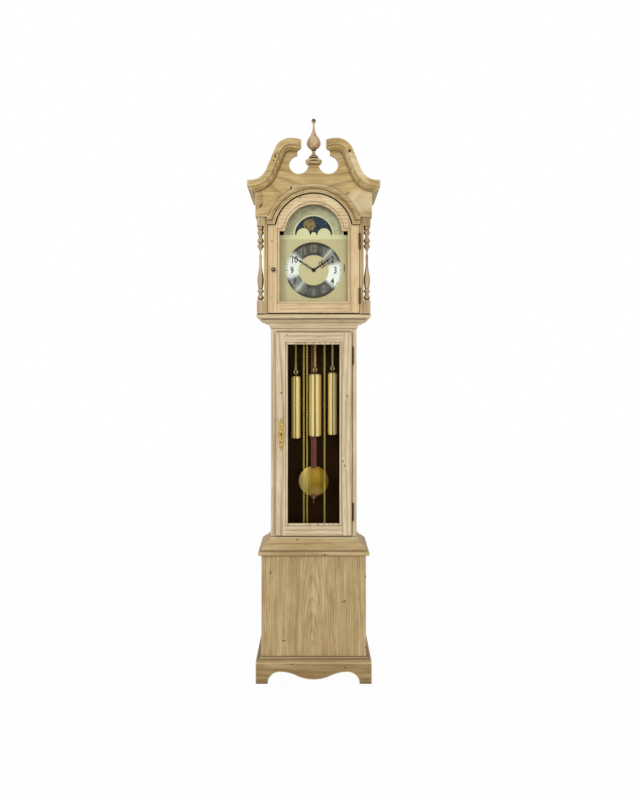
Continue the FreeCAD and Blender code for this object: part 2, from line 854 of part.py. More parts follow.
def make_hood_box():
    """Hood sides, posts beside the door, frieze sides, roof and corner columns."""
    side = box(
        "HoodSide",
        ("-hood_half", "board - hood_half"),
        ("hood_front_y + frame_thickness", "back_y"),
        ("hood_floor_z", "roof_z - roof_thickness"),
    )
    keep("hood_sides", mirror_pair("HoodSides", side))
    post = box(
        "HoodPost",
        ("-hood_half", "-post_inner_x"),
        ("hood_front_y", "hood_front_y + frame_thickness"),
        ("hood_floor_z", "frieze_z"),
    )
    keep("hood_posts", mirror_pair("HoodPosts", post))
    frieze = box(
        "FriezeSide",
        ("-frieze_half", "-hood_half"),
        ("frieze_front_y + scroll_board_thickness", "back_y"),
        ("frieze_z", "roof_z - roof_thickness"),
    )
    keep("frieze_sides", mirror_pair("FriezeSides", frieze))
    keep("hood_roof", box(
        "HoodRoof",
        ("-frieze_half", "frieze_half"),
        ("frieze_front_y + scroll_board_thickness", "back_y"),
        ("roof_z - roof_thickness", "roof_z"),
    ))

    centre_y = "hood_front_y + column_setback - hood_setback + column_square / 2"
    centre = ("-(hood_half + column_square / 2)", centre_y)
    square_x, square_y = [
        (f"{place} - column_square / 2", f"{place} + column_square / 2") for place in centre
    ]
    foot = "hood_floor_z + column_bottom_block"
    length = "column_height - column_bottom_block - column_top_block"
    outline = turned_outline(COLUMN_SHARES, foot, length, "(column_square / 2)")
    outline.append(("0", f"{foot} + {length}"))
    turning = turned_upright("ColumnTurning", centre, outline)
    low = box("ColumnFoot", square_x, square_y, ("hood_floor_z", foot))
    high = box("ColumnHead", square_x, square_y, ("frieze_z - column_top_block", "frieze_z"))
    column = fuse("Column", [low, turning, high])
    keep("hood_columns", mirror_pair("HoodColumns", column))


def swan_curve(inset):
    """Edges of the left swan neck's top line, moved inward by an inset, as points of one plane."""
    slope = math.radians(value("swan_slope"))
    top = value("roof_z") - inset
    cove = value("swan_cove_radius") + inset
    scroll = value("scroll_radius") - inset
    scroll_centre = V(-value("scroll_x"), value("roof_z + scroll_rise"), 0)
    normal = V(-math.sin(slope), math.cos(slope), 0)
    along = V(math.cos(slope), math.sin(slope), 0)
    joint = scroll_centre + normal * scroll
    corner = joint - along * ((joint.y - top) / along.y)
    tangent = cove * math.tan(slope / 2)
    foot = V(corner.x - tangent, top, 0)
    cove_centre = foot + V(0, cove, 0)
    cove_end = corner + along * tangent
    half = slope / 2
    cove_middle = cove_centre + V(math.sin(half), -math.cos(half), 0) * cove
    crown = scroll_centre + V(0, scroll, 0)
    scroll_middle = scroll_centre + V(-math.sin(half), math.cos(half), 0) * scroll
    run = value("scroll_x - scroll_tip_x")
    drop = value("scroll_tip_drop")
    tip_radius = (run * run + drop * drop) / (2 * drop) - inset
    tip_centre = crown - V(0, tip_radius, 0)
    lean = math.asin(run / (tip_radius + inset))
    tip = tip_centre + V(math.sin(lean), math.cos(lean), 0) * tip_radius
    tip_middle = tip_centre + V(math.sin(lean / 2), math.cos(lean / 2), 0) * tip_radius
    start = V(-value("frieze_half + cornice_overhang"), top, 0)
    return start, foot, cove_middle, cove_end, joint, scroll_middle, crown, tip_middle, tip


def upright(point, depth):
    """Point of the front plane placed at a depth."""
    return V(point.x, depth, point.y)


def swan_edges(inset, depth):
    """The edges of the top line as lines and tangent arcs."""
    points = [upright(point, depth) for point in swan_curve(inset)]
    start, foot, cove_middle, cove_end, joint, scroll_middle, crown, tip_middle, tip = points
    return [
        Part.LineSegment(start, foot).toShape(),
        Part.Arc(foot, cove_middle, cove_end).toShape(),
        Part.LineSegment(cove_end, joint).toShape(),
        Part.Arc(joint, scroll_middle, crown).toShape(),
        Part.Arc(crown, tip_middle, tip).toShape(),
    ]


# cornice section: share of its width down from the top, share of its overhang out from the board
CORNICE_SHARES = ((0.00, 1.00), (0.60, 1.00), (0.64, 0.82), (0.84, 0.66), (0.95, 0.30), (1.00, 0.14))
# drop of the slope under the fascia at the scroll's end, as a share of the section's width
SCROLL_SLOPE_SHARE = 0.28


def cornice_section(place):
    """Face of the cornice section; place turns (down, out) into a point."""
    width = value("swan_width")
    overhang = value("cornice_overhang")
    points = [place(down * width, out * overhang) for down, out in CORNICE_SHARES]
    edges = [
        Part.LineSegment(place(0, 0), points[0]),
        Part.LineSegment(points[0], points[1]),
        Part.LineSegment(points[1], points[2]),
        Part.Arc(points[2], points[3], points[4]),
        Part.LineSegment(points[4], points[5]),
        Part.LineSegment(points[5], place(width, 0)),
        Part.LineSegment(place(width, 0), place(0, 0)),
    ]
    return Part.Wire([edge.toShape() for edge in edges])


def mitre_prism(front):
    """Room on one side of the left corner's mitre, which runs at 45 degrees in plan."""
    reach = value("waist_width + waist_depth")
    corner = V(-value("frieze_half"), value("frieze_front_y"), value("plinth_height"))
    outer = corner + V(-reach, -reach, 0)
    inner = corner + V(reach, reach, 0)
    side = inner + V(0, -2 * reach, 0) if front else outer + V(0, 2 * reach, 0)
    face = Part.Face(Part.makePolygon([outer, inner, side, outer]))
    return face.extrude(V(0, 0, 2 * value("roof_z")))


def add_solid(name, shape):
    """Piece whose form is worked out in code from the sheet's sizes."""
    feature = doc.addObject("Part::Feature", name)
    feature.Shape = shape
    feature.Placement = FreeCAD.Placement(V(0, 0, 0), FreeCAD.Rotation())
    return feature


def make_scroll_board():
    """Pierced board of the pediment, arched over the door, with its top under the swan necks."""
    front = value("frieze_front_y")
    thickness = V(0, value("scroll_board_thickness"), 0)
    hidden = value("swan_hidden_width")
    half = value("frieze_half")
    start, foot, cove_middle, cove_end, joint, scroll_middle = swan_curve(hidden)[:6]
    end_x = -value("board_end_x")
    scroll_centre = V(-value("scroll_x"), value("roof_z + scroll_rise"), 0)
    scroll = value("scroll_radius") - hidden
    end_top = V(end_x, scroll_centre.y + math.sqrt(scroll ** 2 - (end_x - scroll_centre.x) ** 2), 0)
    radius = value("cutout_radius")
    cut_centre = V(-value("cutout_x"), value("roof_z + cutout_rise"), 0)
    cut_top = V(end_x, cut_centre.y + math.sqrt(radius ** 2 - (end_x - cut_centre.x) ** 2), 0)
    plinth_x = -value("finial_plinth_half")
    cut_end = V(plinth_x, cut_centre.y - math.sqrt(radius ** 2 - (plinth_x - cut_centre.x) ** 2), 0)
    cut_middle = cut_centre + V(-1, -1, 0).normalize() * radius
    finial_z = value("roof_z + finial_plinth_rise")
    left = [
        Part.LineSegment(V(-half, value("frieze_z"), 0), V(-half, start.y, 0)),
        Part.Arc(foot, cove_middle, cove_end),
        Part.LineSegment(cove_end, joint),
        Part.Arc(joint, scroll_middle, end_top),
        Part.LineSegment(end_top, cut_top),
        Part.Arc(cut_top, cut_middle, cut_end),
        Part.LineSegment(cut_end, V(plinth_x, finial_z, 0)),
    ]
    if foot.x > -half:
        left.insert(1, Part.LineSegment(V(-half, start.y, 0), foot))
    else:
        cove = value("swan_cove_radius") + hidden
        cove_centre = V(foot.x, start.y + cove, 0)
        edge_z = cove_centre.y - math.sqrt(cove ** 2 - (-half - foot.x) ** 2)
        left[0] = Part.LineSegment(V(-half, value("frieze_z"), 0), V(-half, edge_z, 0))
        left[1] = Part.Arc(V(-half, edge_z, 0), cove_middle, cove_end)
    post = value("post_inner_x")
    arch = value("board_arch_radius")
    arch_centre = V(0, value("arch_centre_z"), 0)
    ear_z = value("ear_z")
    ear_x = math.sqrt(arch ** 2 - value("ear_bottom") ** 2)
    frieze_z = value("frieze_z")
    below = [
        Part.LineSegment(V(-half, frieze_z, 0), V(-post, frieze_z, 0)),
        Part.LineSegment(V(-post, frieze_z, 0), V(-post, ear_z, 0)),
        Part.LineSegment(V(-post, ear_z, 0), V(-ear_x, ear_z, 0)),
    ]
    edges = [edge.toShape() for edge in left + below]
    mirror = [edge.mirror(V(0, 0, 0), V(1, 0, 0)) for edge in edges]
    edges += mirror
    edges.append(Part.LineSegment(V(plinth_x, finial_z, 0), V(-plinth_x, finial_z, 0)).toShape())
    crown_point = arch_centre + V(0, arch, 0)
    edges.append(Part.Arc(V(-ear_x, ear_z, 0), crown_point, V(ear_x, ear_z, 0)).toShape())
    wire = Part.Wire(Part.__sortEdges__(edges))
    face = Part.Face(wire)
    face.rotate(V(0, 0, 0), V(1, 0, 0), 90)
    face.translate(V(0, front, 0))
    keep("scroll_board", add_solid("ScrollBoard", face.extrude(thickness)))


def scroll_end(tip):
    """Waste beyond the left scroll's end: the fascia stops upright and the rest slopes back under it."""
    width = value("swan_width")
    under = tip.z - CORNICE_SHARES[1][0] * width
    end_x = -value("scroll_end_x")
    board_x = -value("board_end_x")
    outline = [(end_x, tip.z + width), (end_x, under), (board_x, under - SCROLL_SLOPE_SHARE * width),
               (board_x, tip.z - 2 * width), (0, tip.z - 2 * width), (0, tip.z + width)]
    points = [V(x, value("frieze_front_y"), z) for x, z in outline]
    waste = Part.Face(Part.makePolygon(points + points[:1]))
    return waste.extrude(V(0, -2 * value("cornice_overhang"), 0))


def make_swan_necks():
    """Swan-neck mouldings swept along the scroll and mitred to the cornice returns."""
    front = value("frieze_front_y")
    path = Part.Wire(swan_edges(0, front))
    tip = path.OrderedVertexes[-1].Point
    start = path.OrderedVertexes[0].Point
    section = cornice_section(lambda down, out: V(start.x, start.y - out, start.z - down))
    sweep = path.makePipeShell([section], True, False)
    left = sweep.common(mitre_prism(True)).cut(scroll_end(tip)).Solids[0]
    right = left.mirror(V(0, 0, 0), V(1, 0, 0))
    keep("swan_necks", add_solid("SwanNecks", Part.makeCompound([left, right])))

    side_x = -value("frieze_half")
    back = value("back_y")
    run = back - front + value("cornice_overhang")
    profile = cornice_section(lambda down, out: V(side_x - out, back, value("roof_z") - down))
    bar = Part.Face(profile).extrude(V(0, -run, 0))
    left = bar.common(mitre_prism(False)).Solids[0]
    right = left.mirror(V(0, 0, 0), V(1, 0, 0))
    keep("cornice_returns", add_solid("CorniceReturns", Part.makeCompound([left, right])))


# arch moulding section: share of its width out from the arch, share of how far it stands proud
ARCH_SHARES = ((0.00, 0.40), (0.14, 0.40), (0.22, 0.62), (0.34, 0.62), (0.44, 0.34), (0.78, 0.92),
               (0.86, 1.00), (1.00, 1.00))


def arch_section(place):
    """Wire of the arch moulding's section; place turns (out, proud) into a point."""
    width = value("arch_moulding_width")
    proud = value("arch_moulding_proud")
    points = [place(out * width, rise * proud) for out, rise in ARCH_SHARES]
    points = [place(0, 0)] + points + [place(width, 0)]
    return Part.Wire(Part.makePolygon(points + points[:1]))


def make_arch_moulding():
    """Half-round moulding over the door with a short level ear mitred to each end."""
    front = value("frieze_front_y")
    centre_z = value("arch_centre_z")
    inner = value("board_arch_radius")
    width = value("arch_moulding_width")
    ear_z = value("ear_z")
    low_x = math.sqrt(inner ** 2 - value("ear_bottom") ** 2)
    outer_z = ear_z + width
    high_x = math.sqrt((inner + width) ** 2 - (outer_z - centre_z) ** 2)
    end_x = value("post_inner_x")
    ring = Part.Face(arch_section(lambda out, proud: V(inner + out, front - proud, centre_z)))
    ring = ring.revolve(V(0, 0, centre_z), V(0, 1, 0), 360)
    lean = V(high_x - low_x, 0, width)
    low = V(low_x, front, ear_z)
    top = low + lean * (2 * inner / width)
    bottom = low - lean
    reach = V(0, value("arch_moulding_proud") + value("overrun"), 0)

    def mirrored(point):
        return V(-point.x, point.y, point.z)

    window = Part.Face(Part.makePolygon([bottom, top, mirrored(top), mirrored(bottom), bottom]))
    window.translate(reach)
    window = window.extrude(-2 * reach)
    arch = ring.common(window)
    corner = V(2 * inner, front, ear_z)
    beside = Part.Face(Part.makePolygon([bottom, top, corner, bottom]))
    beside.translate(reach)
    beside = beside.extrude(-2 * reach)
    bar = Part.Face(arch_section(lambda out, proud: V(0, front - proud, ear_z + out)))
    right = bar.extrude(V(end_x, 0, 0)).common(beside)
    left = right.mirror(V(0, 0, 0), V(1, 0, 0))
    moulding = arch.fuse([right, left]).removeSplitter()
    keep("arch_moulding", add_solid("ArchMoulding", moulding.Solids[0]))


def make_finial():
    """Turned finial on the pediment's middle plinth."""
    centre = ("0", "frieze_front_y + scroll_board_thickness / 2")
    foot = "roof_z + finial_plinth_rise"
    outline = turned_outline(FINIAL_SHARES, foot, "finial_height", "finial_radius")
    ball = f"{FINIAL_BALL_SHARE} * finial_radius"
    top = f"{foot} + finial_height"
    outline.append((ball, f"{top} - {ball}", f"{FINIAL_NECK_SHARE} * {ball}"))
    outline.append(("0", top, ball))
    keep("finial", turned_upright("Finial", centre, outline))


def rounded_frame(corner, half, low, high):
    """Outline of an upright rectangle with rounded corners."""
    return [
        (f"{corner} - ({half})", low, corner),
        (f"({half}) - {corner}", low),
        (half, f"{low} + {corner}", corner),
        (half, f"{high} - {corner}"),
        (f"({half}) - {corner}", high, corner),
        (f"{corner} - ({half})", high),
        (f"-({half})", f"{high} - {corner}", corner),
        (f"-({half})", f"{low} + {corner}"),
    ]


def rectangle(half, low, high):
    """Outline of an upright rectangle."""
    return [(f"-({half})", low), (half, low), (half, high), (f"-({half})", high)]


def arched(half, low, shoulder, ear_rise, radius, centre_z):
    """Outline of a break-arch panel: a square body, level shoulders and a round arch."""
    reach = f"sqrt(({radius}) ^ 2 - ({ear_rise}) ^ 2)"
    return [
        (f"-({half})", low),
        (half, low),
        (half, shoulder),
        (reach, shoulder),
        ("0", f"{centre_z} + {radius}", f"{radius}"),
        (f"-({reach})", shoulder, f"{radius}"),
        (f"-({half})", shoulder),
    ]


def hinge_half(name, pin, leaves, moving, bottom, height):
    """Half of a butt hinge: its leaf pieces and its knuckles; the case half carries the pin."""
    pin_x, pin_y = pin
    knuckle = f"({height}) / {KNUCKLES}"
    own = [slot for slot in range(KNUCKLES) if slot % 2 == moving]
    parts = [box(f"{name}Leaf{number}", x, y, (bottom, f"{bottom} + {height}"))
             for number, (x, y) in enumerate(leaves)]
    reliefs = []
    for slot in range(KNUCKLES):
        low = f"{bottom} + {slot} * {knuckle}"
        if slot in own:
            place = (pin_x, pin_y, low)
            parts.append(cylinder(f"{name}Knuckle{slot}", "knuckle_radius", place, knuckle, "z"))
        else:
            place = (pin_x, pin_y, f"{low} - hinge_end_gap")
            reliefs.append(cylinder(f"{name}Relief{slot}", "knuckle_radius + hinge_gap", place,
                                    f"{knuckle} + 2 * hinge_end_gap", "z"))
    body = fuse(name + "Body", parts)
    if moving:
        reliefs.append(cylinder(name + "Bore", "hinge_pin_radius + pin_clearance",
                                (pin_x, pin_y, f"{bottom} - overrun"), f"{height} + 2 * overrun", "z"))
        return cut(name, body, reliefs)
    pin_rod = cylinder(name + "Pin", "hinge_pin_radius", (pin_x, pin_y, bottom), height, "z")
    return fuse(name, [cut(name + "Cut", body, reliefs), pin_rod])


def make_hinges():
    """Two butt hinges on each door: halves on the case and halves on the doors."""
    hood_leaf_y = ("hood_pin_y", "hood_pin_y + leaf_depth")
    thin_y = ("waist_pin_y - leaf_thickness", "waist_pin_y")
    doors = (
        ("Hood", ("hood_pin_x", "hood_pin_y"), "hood_hinge_height",
         ("hood_floor_z + hood_door_lift + hood_hinge_margin",
          "ear_z - hood_hinge_margin - hood_hinge_height"),
         [(("hood_door_half", "hood_door_half + leaf_thickness"), hood_leaf_y)],
         [(("post_inner_x - leaf_thickness", "post_inner_x"), hood_leaf_y)]),
        ("Waist", ("waist_pin_x", "waist_pin_y"), "waist_hinge_height",
         ("waist_door_z + waist_hinge_margin",
          "waist_door_top_z - waist_hinge_margin - waist_hinge_height"),
         [(("waist_door_half", "waist_pin_x"), thin_y),
          (("waist_door_half", "waist_door_half + leaf_thickness"),
           ("waist_pin_y - leaf_thickness", "waist_front_y - hinge_gap"))],
         [(("waist_pin_x", "waist_pin_x + leaf_thickness + knuckle_radius"),
           ("waist_front_y - leaf_thickness", "waist_front_y")),
          (("waist_pin_x", "waist_pin_x + leaf_thickness"), ("waist_pin_y", "waist_front_y"))]),
    )
    fixed = []
    for name, pin, height, bottoms, door_leaves, case_leaves in doors:
        moving = []
        for number, bottom in enumerate(bottoms):
            moving.append(hinge_half(f"{name}DoorHinge{number}", pin, door_leaves, True, bottom, height))
            fixed.append(hinge_half(f"{name}CaseHinge{number}", pin, case_leaves, False, bottom, height))
        keep(f"{name.lower()}_door_hinges", group(name + "DoorHinges", moving))
    keep("case_hinge_leaves", group("CaseHingeLeaves", fixed))


# turned knob: share of its length out from the door, radius share, radius of the arc that ends here
KNOB_SHARES = ((0.00, 0.60, 0), (0.12, 0.60, 0), (0.30, 0.40, 0), (0.60, 0.85, -0.5), (0.75, 1.00, 0.3))


def make_hood_door():
    """Break-arch hood door: frame with a glazing bead, glass and turned knob."""
    low = "hood_floor_z + hood_door_lift"
    outer = arched("hood_door_half", low, "arch_centre_z + hood_door_shoulder", "hood_door_shoulder",
                   "hood_door_arch_radius", "arch_centre_z")
    sill = "hood_floor_z + hood_opening_bottom"
    half = "hood_opening_width / 2"
    seen = arched(half, sill, "arch_centre_z + hood_opening_shoulder", "hood_opening_shoulder",
                  "hood_opening_radius", "arch_centre_z")
    bead = arched(f"{half} + bead_width", f"{sill} - bead_width",
                  "arch_centre_z + hood_opening_shoulder + bead_width",
                  "hood_opening_shoulder + bead_width",
                  "hood_opening_radius + bead_width", "arch_centre_z")
    clear = "bead_width - glass_clearance"
    pane = arched(f"{half} + {clear}", f"{sill} - ({clear})",
                  f"arch_centre_z + hood_opening_shoulder + {clear}", f"hood_opening_shoulder + {clear}",
                  f"hood_opening_radius + {clear}", "arch_centre_z")
    frame = flat_plate("HoodDoorFrame", "hood_front_y", "hood_door_thickness", [outer, bead])
    add_bead(frame, "HoodDoor", "hood_front_y", bead, seen)
    keep("hood_door_frame", frame)
    glass_y = "hood_front_y + bead_setback + bead_depth"
    keep("hood_door_glass", flat_plate("HoodDoorGlass", glass_y, "glass_thickness", [pane]))
    profile = [("hood_front_y", "0")]
    for out, share, swing in KNOB_SHARES:
        place = (f"hood_front_y - {out} * knob_length", f"{share} * knob_radius")
        profile.append(place + (f"{swing} * knob_length",) if swing else place)
    dome = f"(1 - {KNOB_SHARES[-1][0]}) * knob_length"
    swing = f"(knob_radius ^ 2 + ({dome}) ^ 2) / (2 * {dome})"
    profile.append(("hood_front_y - knob_length", "0", swing))
    knob = turned_forward("HoodDoorKnob", ("-knob_x", "hood_floor_z + knob_z"), profile)
    keep("hood_door_knob", knob)


def lies_at(edge, depth):
    """Whether a whole edge lies in one upright plane."""
    limits = edge.BoundBox
    return abs(limits.YMin - depth) < NEAR and abs(limits.YMax - depth) < NEAR


def add_bead(body, name, front_y, outer, inner):
    """Glazing bead inside a door frame, its front edge rounded towards the opening."""
    sketch = add_sketch(body, name + "BeadOutline", "XZ_Plane", f"-({front_y} + bead_setback)")
    draw(sketch, outer)
    draw(sketch, inner)
    bead = pad(body, name + "BeadPad", sketch, "bead_depth", back=True)
    doc.recompute()
    front = value(f"{front_y} + bead_setback")
    bounds = min((wire.BoundBox for wire in sketch.Shape.Wires), key=lambda limits: limits.XLength)
    bounds.enlarge(NEAR)
    names = [f"Edge{number}" for number, edge in enumerate(bead.Shape.Edges, start=1)
             if lies_at(edge, front) and bounds.isInside(edge.BoundBox)]
    rounding = body.newObject("PartDesign::Fillet", name + "BeadRounding")
    rounding.Base = (bead, names)
    rounding.setExpression("Radius", bind("bead_rounding"))
    body.Tip = rounding


def make_waist_door():
    """Lipped trunk door with a long pane, and its pierced escutcheon."""
    half = "waist_door_half"
    low = "waist_door_z"
    high = "waist_door_top_z"
    stile = "waist_door_stile"
    lip = rounded_frame("door_corner_radius", half, low, high)
    bead = rectangle(f"{half} - {stile}", f"{low} + {stile}", f"{high} - {stile}")
    seen = rectangle(f"{half} - {stile} - bead_width", f"{low} + {stile} + bead_width",
                     f"{high} - {stile} - bead_width")
    clear = f"{stile} + glass_clearance"
    pane = rectangle(f"{half} - ({clear})", f"{low} + {clear}", f"{high} - ({clear})")
    lip_depth = "waist_door_lip - hinge_gap"
    frame = flat_plate("WaistDoorFrame", "waist_door_front_y", lip_depth, [lip, bead])
    doc.recompute()
    face_y = value("waist_door_front_y")
    lip_pad = frame.Tip
    side = value(f"{half} - {stile}")
    bottom = value(f"{low} + {stile}")
    top = value(f"{high} - {stile}")
    around_pane = FreeCAD.BoundBox(-side, face_y, bottom, side, face_y, top)
    around_pane.enlarge(NEAR)
    names = [f"Edge{number}" for number, edge in enumerate(lip_pad.Shape.Edges, start=1)
             if lies_at(edge, face_y) and not around_pane.isInside(edge.BoundBox)]
    rounding = frame.newObject("PartDesign::Fillet", "WaistDoorLipRounding")
    rounding.Base = (lip_pad, names)
    rounding.setExpression("Radius", bind("lip_rounding"))
    frame.Tip = rounding
    body_sketch = add_sketch(frame, "WaistDoorBodyOutline", "XZ_Plane", "-(waist_front_y - hinge_gap)")
    draw(body_sketch, rectangle("waist_body_half", "waist_body_z", "waist_body_top_z"))
    draw(body_sketch, bead)
    pad(frame, "WaistDoorBodyPad", body_sketch, "waist_door_depth", back=True)
    add_bead(frame, "WaistDoor", "waist_door_front_y", bead, seen)
    keep("waist_door_frame", frame)
    glass_y = "waist_door_front_y + bead_setback + bead_depth"
    keep("waist_door_glass", flat_plate("WaistDoorGlass", glass_y, "glass_thickness", [pane]))


# escutcheon plate: height share from its foot and half-width share there; every second one ends an arc
ESCUTCHEON_SHARES = ((0.00, 0.00), (0.03, 0.28), (0.07, 0.16), (0.13, 0.60), (0.20, 0.34), (0.27, 0.90),
                     (0.35, 0.42), (0.50, 1.00), (0.65, 0.42), (0.73, 0.90), (0.80, 0.34), (0.87, 0.60),
                     (0.93, 0.16), (0.97, 0.28), (1.00, 0.00))
# piercings: height share and radius share of the half width
PIERCING_SHARES = ((0.13, 0.26), (0.27, 0.40), (0.375, 0.24), (0.65, 0.20), (0.73, 0.40), (0.87, 0.26))


def make_escutcheon():
    """Long pierced keyhole plate on the trunk door's left stile."""
    width = value("escutcheon_width")
    height = value("escutcheon_height")
    x = -value("escutcheon_x")
    foot = value("waist_door_z + escutcheon_height_above_sill") - height / 2
    front = value("waist_door_front_y") - value("escutcheon_thickness")
    outline = [V(x + half * width / 2, front, foot + rise * height) for rise, half in ESCUTCHEON_SHARES]
    right = [Part.Arc(*outline[place:place + 3]).toShape() for place in range(0, len(outline) - 1, 2)]
    left = [edge.mirror(V(x, 0, 0), V(1, 0, 0)) for edge in right]
    face = Part.Face(Part.Wire(Part.__sortEdges__(right + left)))
    depth = V(0, value("escutcheon_thickness"), 0)
    plate = face.extrude(depth)
    reach = 2 * value("escutcheon_thickness")
    begin = front - value("escutcheon_thickness") / 2
    holes = []
    for rise, share in PIERCING_SHARES:
        place = V(x, begin, foot + rise * height)
        holes.append(Part.makeCylinder(share * width / 2, reach, place, V(0, 1, 0)))
    eye = V(x, begin, foot + height / 2 + value("keyhole_height") / 2)
    holes.append(Part.makeCylinder(value("keyhole_radius"), reach, eye, V(0, 1, 0)))
    slot = value("keyhole_slot")
    low = eye + V(-slot / 2, 0, -value("keyhole_height"))
    holes.append(Part.makeBox(slot, reach, value("keyhole_height"), low))
    keep("waist_door_escutcheon", add_solid("Escutcheon", plate.cut(holes)))


def make_dial():
    """Break-arch dial plate with its moon aperture and feet, chapter ring and moon disc."""
    arch_rise = "dial_bottom_z + dial_square_height - arch_centre_z"
    plate = arched("dial_width / 2", "dial_bottom_z", "dial_bottom_z + dial_square_height", arch_rise,
                   "dial_arch_radius", "arch_centre_z")
    level = "arch_centre_z"
    hump = "moon_hump_radius"
    small = "moon_centre_hump_radius"
    x = "moon_hump_x"
    top = "moon_aperture_radius"
    aperture = [
        (top, level),
        ("0", f"{level} + {top}", top),
        (f"-{top}", level, top),
        (f"-({x}) - {hump}", level),
        (f"-({x})", f"{level} + {hump}", f"-{hump}"),
        (f"{hump} - {x}", level, f"-{hump}"),
        (f"-{small}", level),
        ("0", f"{level} + {small}", f"-{small}"),
        (small, level, f"-{small}"),
        (f"{x} - {hump}", level),
        (x, f"{level} + {hump}", f"-{hump}"),
        (f"{x} + {hump}", level, f"-{hump}"),
    ]
    slot_low = "hood_floor_z + lever_z - lever_travel / 2 - lever_width / 2 - lever_slot_width / 4"
    slot_high = "hood_floor_z + lever_z + lever_travel / 2 + lever_width / 2 + lever_slot_width / 4"
    slot = [
        ("lever_x - lever_slot_width / 2", slot_low),
        ("lever_x + lever_slot_width / 2", slot_low),
        ("lever_x + lever_slot_width / 2", slot_high),
        ("lever_x - lever_slot_width / 2", slot_high),
    ]
    arbor_hole = (("0", "dial_centre_z"), "pipe_radius + train_clearance + hand_gap")
    edges = [plate, aperture, slot]
    sheet = flat_plate("DialSheet", "dial_front_y", "dial_thickness", edges, [arbor_hole])
    parts = [sheet]
    feet = "-front_plate_depth - dial_back_y"
    for number, (side, rise) in enumerate((("-", "- dial_foot_drop"), ("", "- dial_foot_drop"),
                                           ("-", "+ dial_foot_rise"), ("", "+ dial_foot_rise"))):
        parts.append(cylinder(f"DialFoot{number}", "dial_foot_radius",
                              (f"{side}dial_foot_x", "dial_back_y", f"dial_centre_z {rise}"), feet, "y"))
    head_y = "dial_back_y + 2 * moon_disc_gap + moon_disc_thickness"
    parts.append(cylinder("MoonStud", "moon_stud_radius", ("0", "dial_back_y", level),
                          "2 * moon_disc_gap + moon_disc_thickness", "y"))
    parts.append(cylinder("MoonStudHead", "moon_stud_head_radius", ("0", head_y, level),
                          "moon_disc_thickness", "y"))
    keep("dial_plate", fuse("DialPlate", parts))

    centre = ("0", "dial_centre_z")
    circles = [(centre, "chapter_radius"), (centre, "chapter_inner_radius")]
    ring_y = "dial_front_y - chapter_thickness"
    keep("chapter_ring", flat_plate("ChapterRing", ring_y, "chapter_thickness", [], circles))
    keep("moon_disc", flat_plate("MoonDisc", "dial_back_y + moon_disc_gap", "moon_disc_thickness", [],
                                 [(("0", level), "moon_disc_radius"),
                                  (("0", level), "moon_stud_radius + train_clearance")]))

    lever = []
    for name, width, front, back in (
            ("LeverPost", "lever_width", "dial_front_y - lever_reach", "dial_back_y + hand_gap"),
            ("LeverHead", "lever_head_width", "dial_front_y - lever_reach", "dial_front_y - hand_gap"),
            ("LeverShoe", "lever_shoe_width", "dial_back_y + lever_gap",
             "dial_back_y + lever_gap + dial_thickness")):
        lever.append(box(
            name,
            (f"lever_x - {width} / 2", f"lever_x + {width} / 2"),
            (front, back),
            (f"hood_floor_z + lever_z - {width} / 2", f"hood_floor_z + lever_z + {width} / 2"),
        ))
    keep("chime_lever", fuse("ChimeLever", lever))


# hand outlines: share of the length from the hub, half-width share of the hub radius
MINUTE_BAR_SHARES = ((0.00, 0.55), (0.22, 0.26), (0.50, 0.28), (0.57, 0.50), (0.64, 0.26), (1.00, 0.12))
HOUR_BAR_SHARES = ((0.00, 0.50), (0.32, 0.34), (0.44, 0.34), (0.54, 0.56), (0.64, 0.34), (0.76, 0.28),
                   (0.83, 0.42), (1.00, 0.06))
# open loops: centre share of the length, then sideways share and radius share of the hub radius
MINUTE_LOOP_SHARES = ((0.22, 0.0, 0.62), (0.32, 0.0, 0.66), (0.42, 0.0, 0.56))
HOUR_LOOP_SHARES = ((0.46, 0.82, 0.88), (0.46, -0.82, 0.88), (0.62, 0.82, 0.88), (0.62, -0.82, 0.88))


def hand_shape(length, angle, rear_y, bar, loops, bore):
    """Pierced hand: hub, tapered bar and open loops, turned clockwise from twelve."""
    hub = value("hand_hub_radius")
    thickness = value("hand_thickness")
    size = value(length)
    front = rear_y - thickness
    depth = V(0, thickness, 0)
    right = [V(half * hub, front, rise * size) for rise, half in bar]
    left = [V(-half * hub, front, rise * size) for rise, half in reversed(bar)]
    blade = Part.Face(Part.makePolygon(right + left + right[:1])).extrude(depth)
    hub_disc = Part.makeCylinder(hub, thickness, V(0, front, 0), V(0, 1, 0))
    rings = []
    holes = []
    for rise, side, radius in loops:
        place = V(side * hub, front, rise * size)
        rings.append(Part.makeCylinder(radius * hub, thickness, place, V(0, 1, 0)))
        holes.append(Part.makeCylinder(radius * hub * HAND_LOOP_SHARE, thickness, place, V(0, 1, 0)))
    holes.append(Part.makeCylinder(bore, thickness, V(0, front, 0), V(0, 1, 0)))
    hand = hub_disc.fuse([blade] + rings).cut(holes).removeSplitter()
    hand.rotate(V(0, 0, 0), V(0, 1, 0), value(angle))
    hand.translate(V(0, 0, value("dial_centre_z")))
    return hand


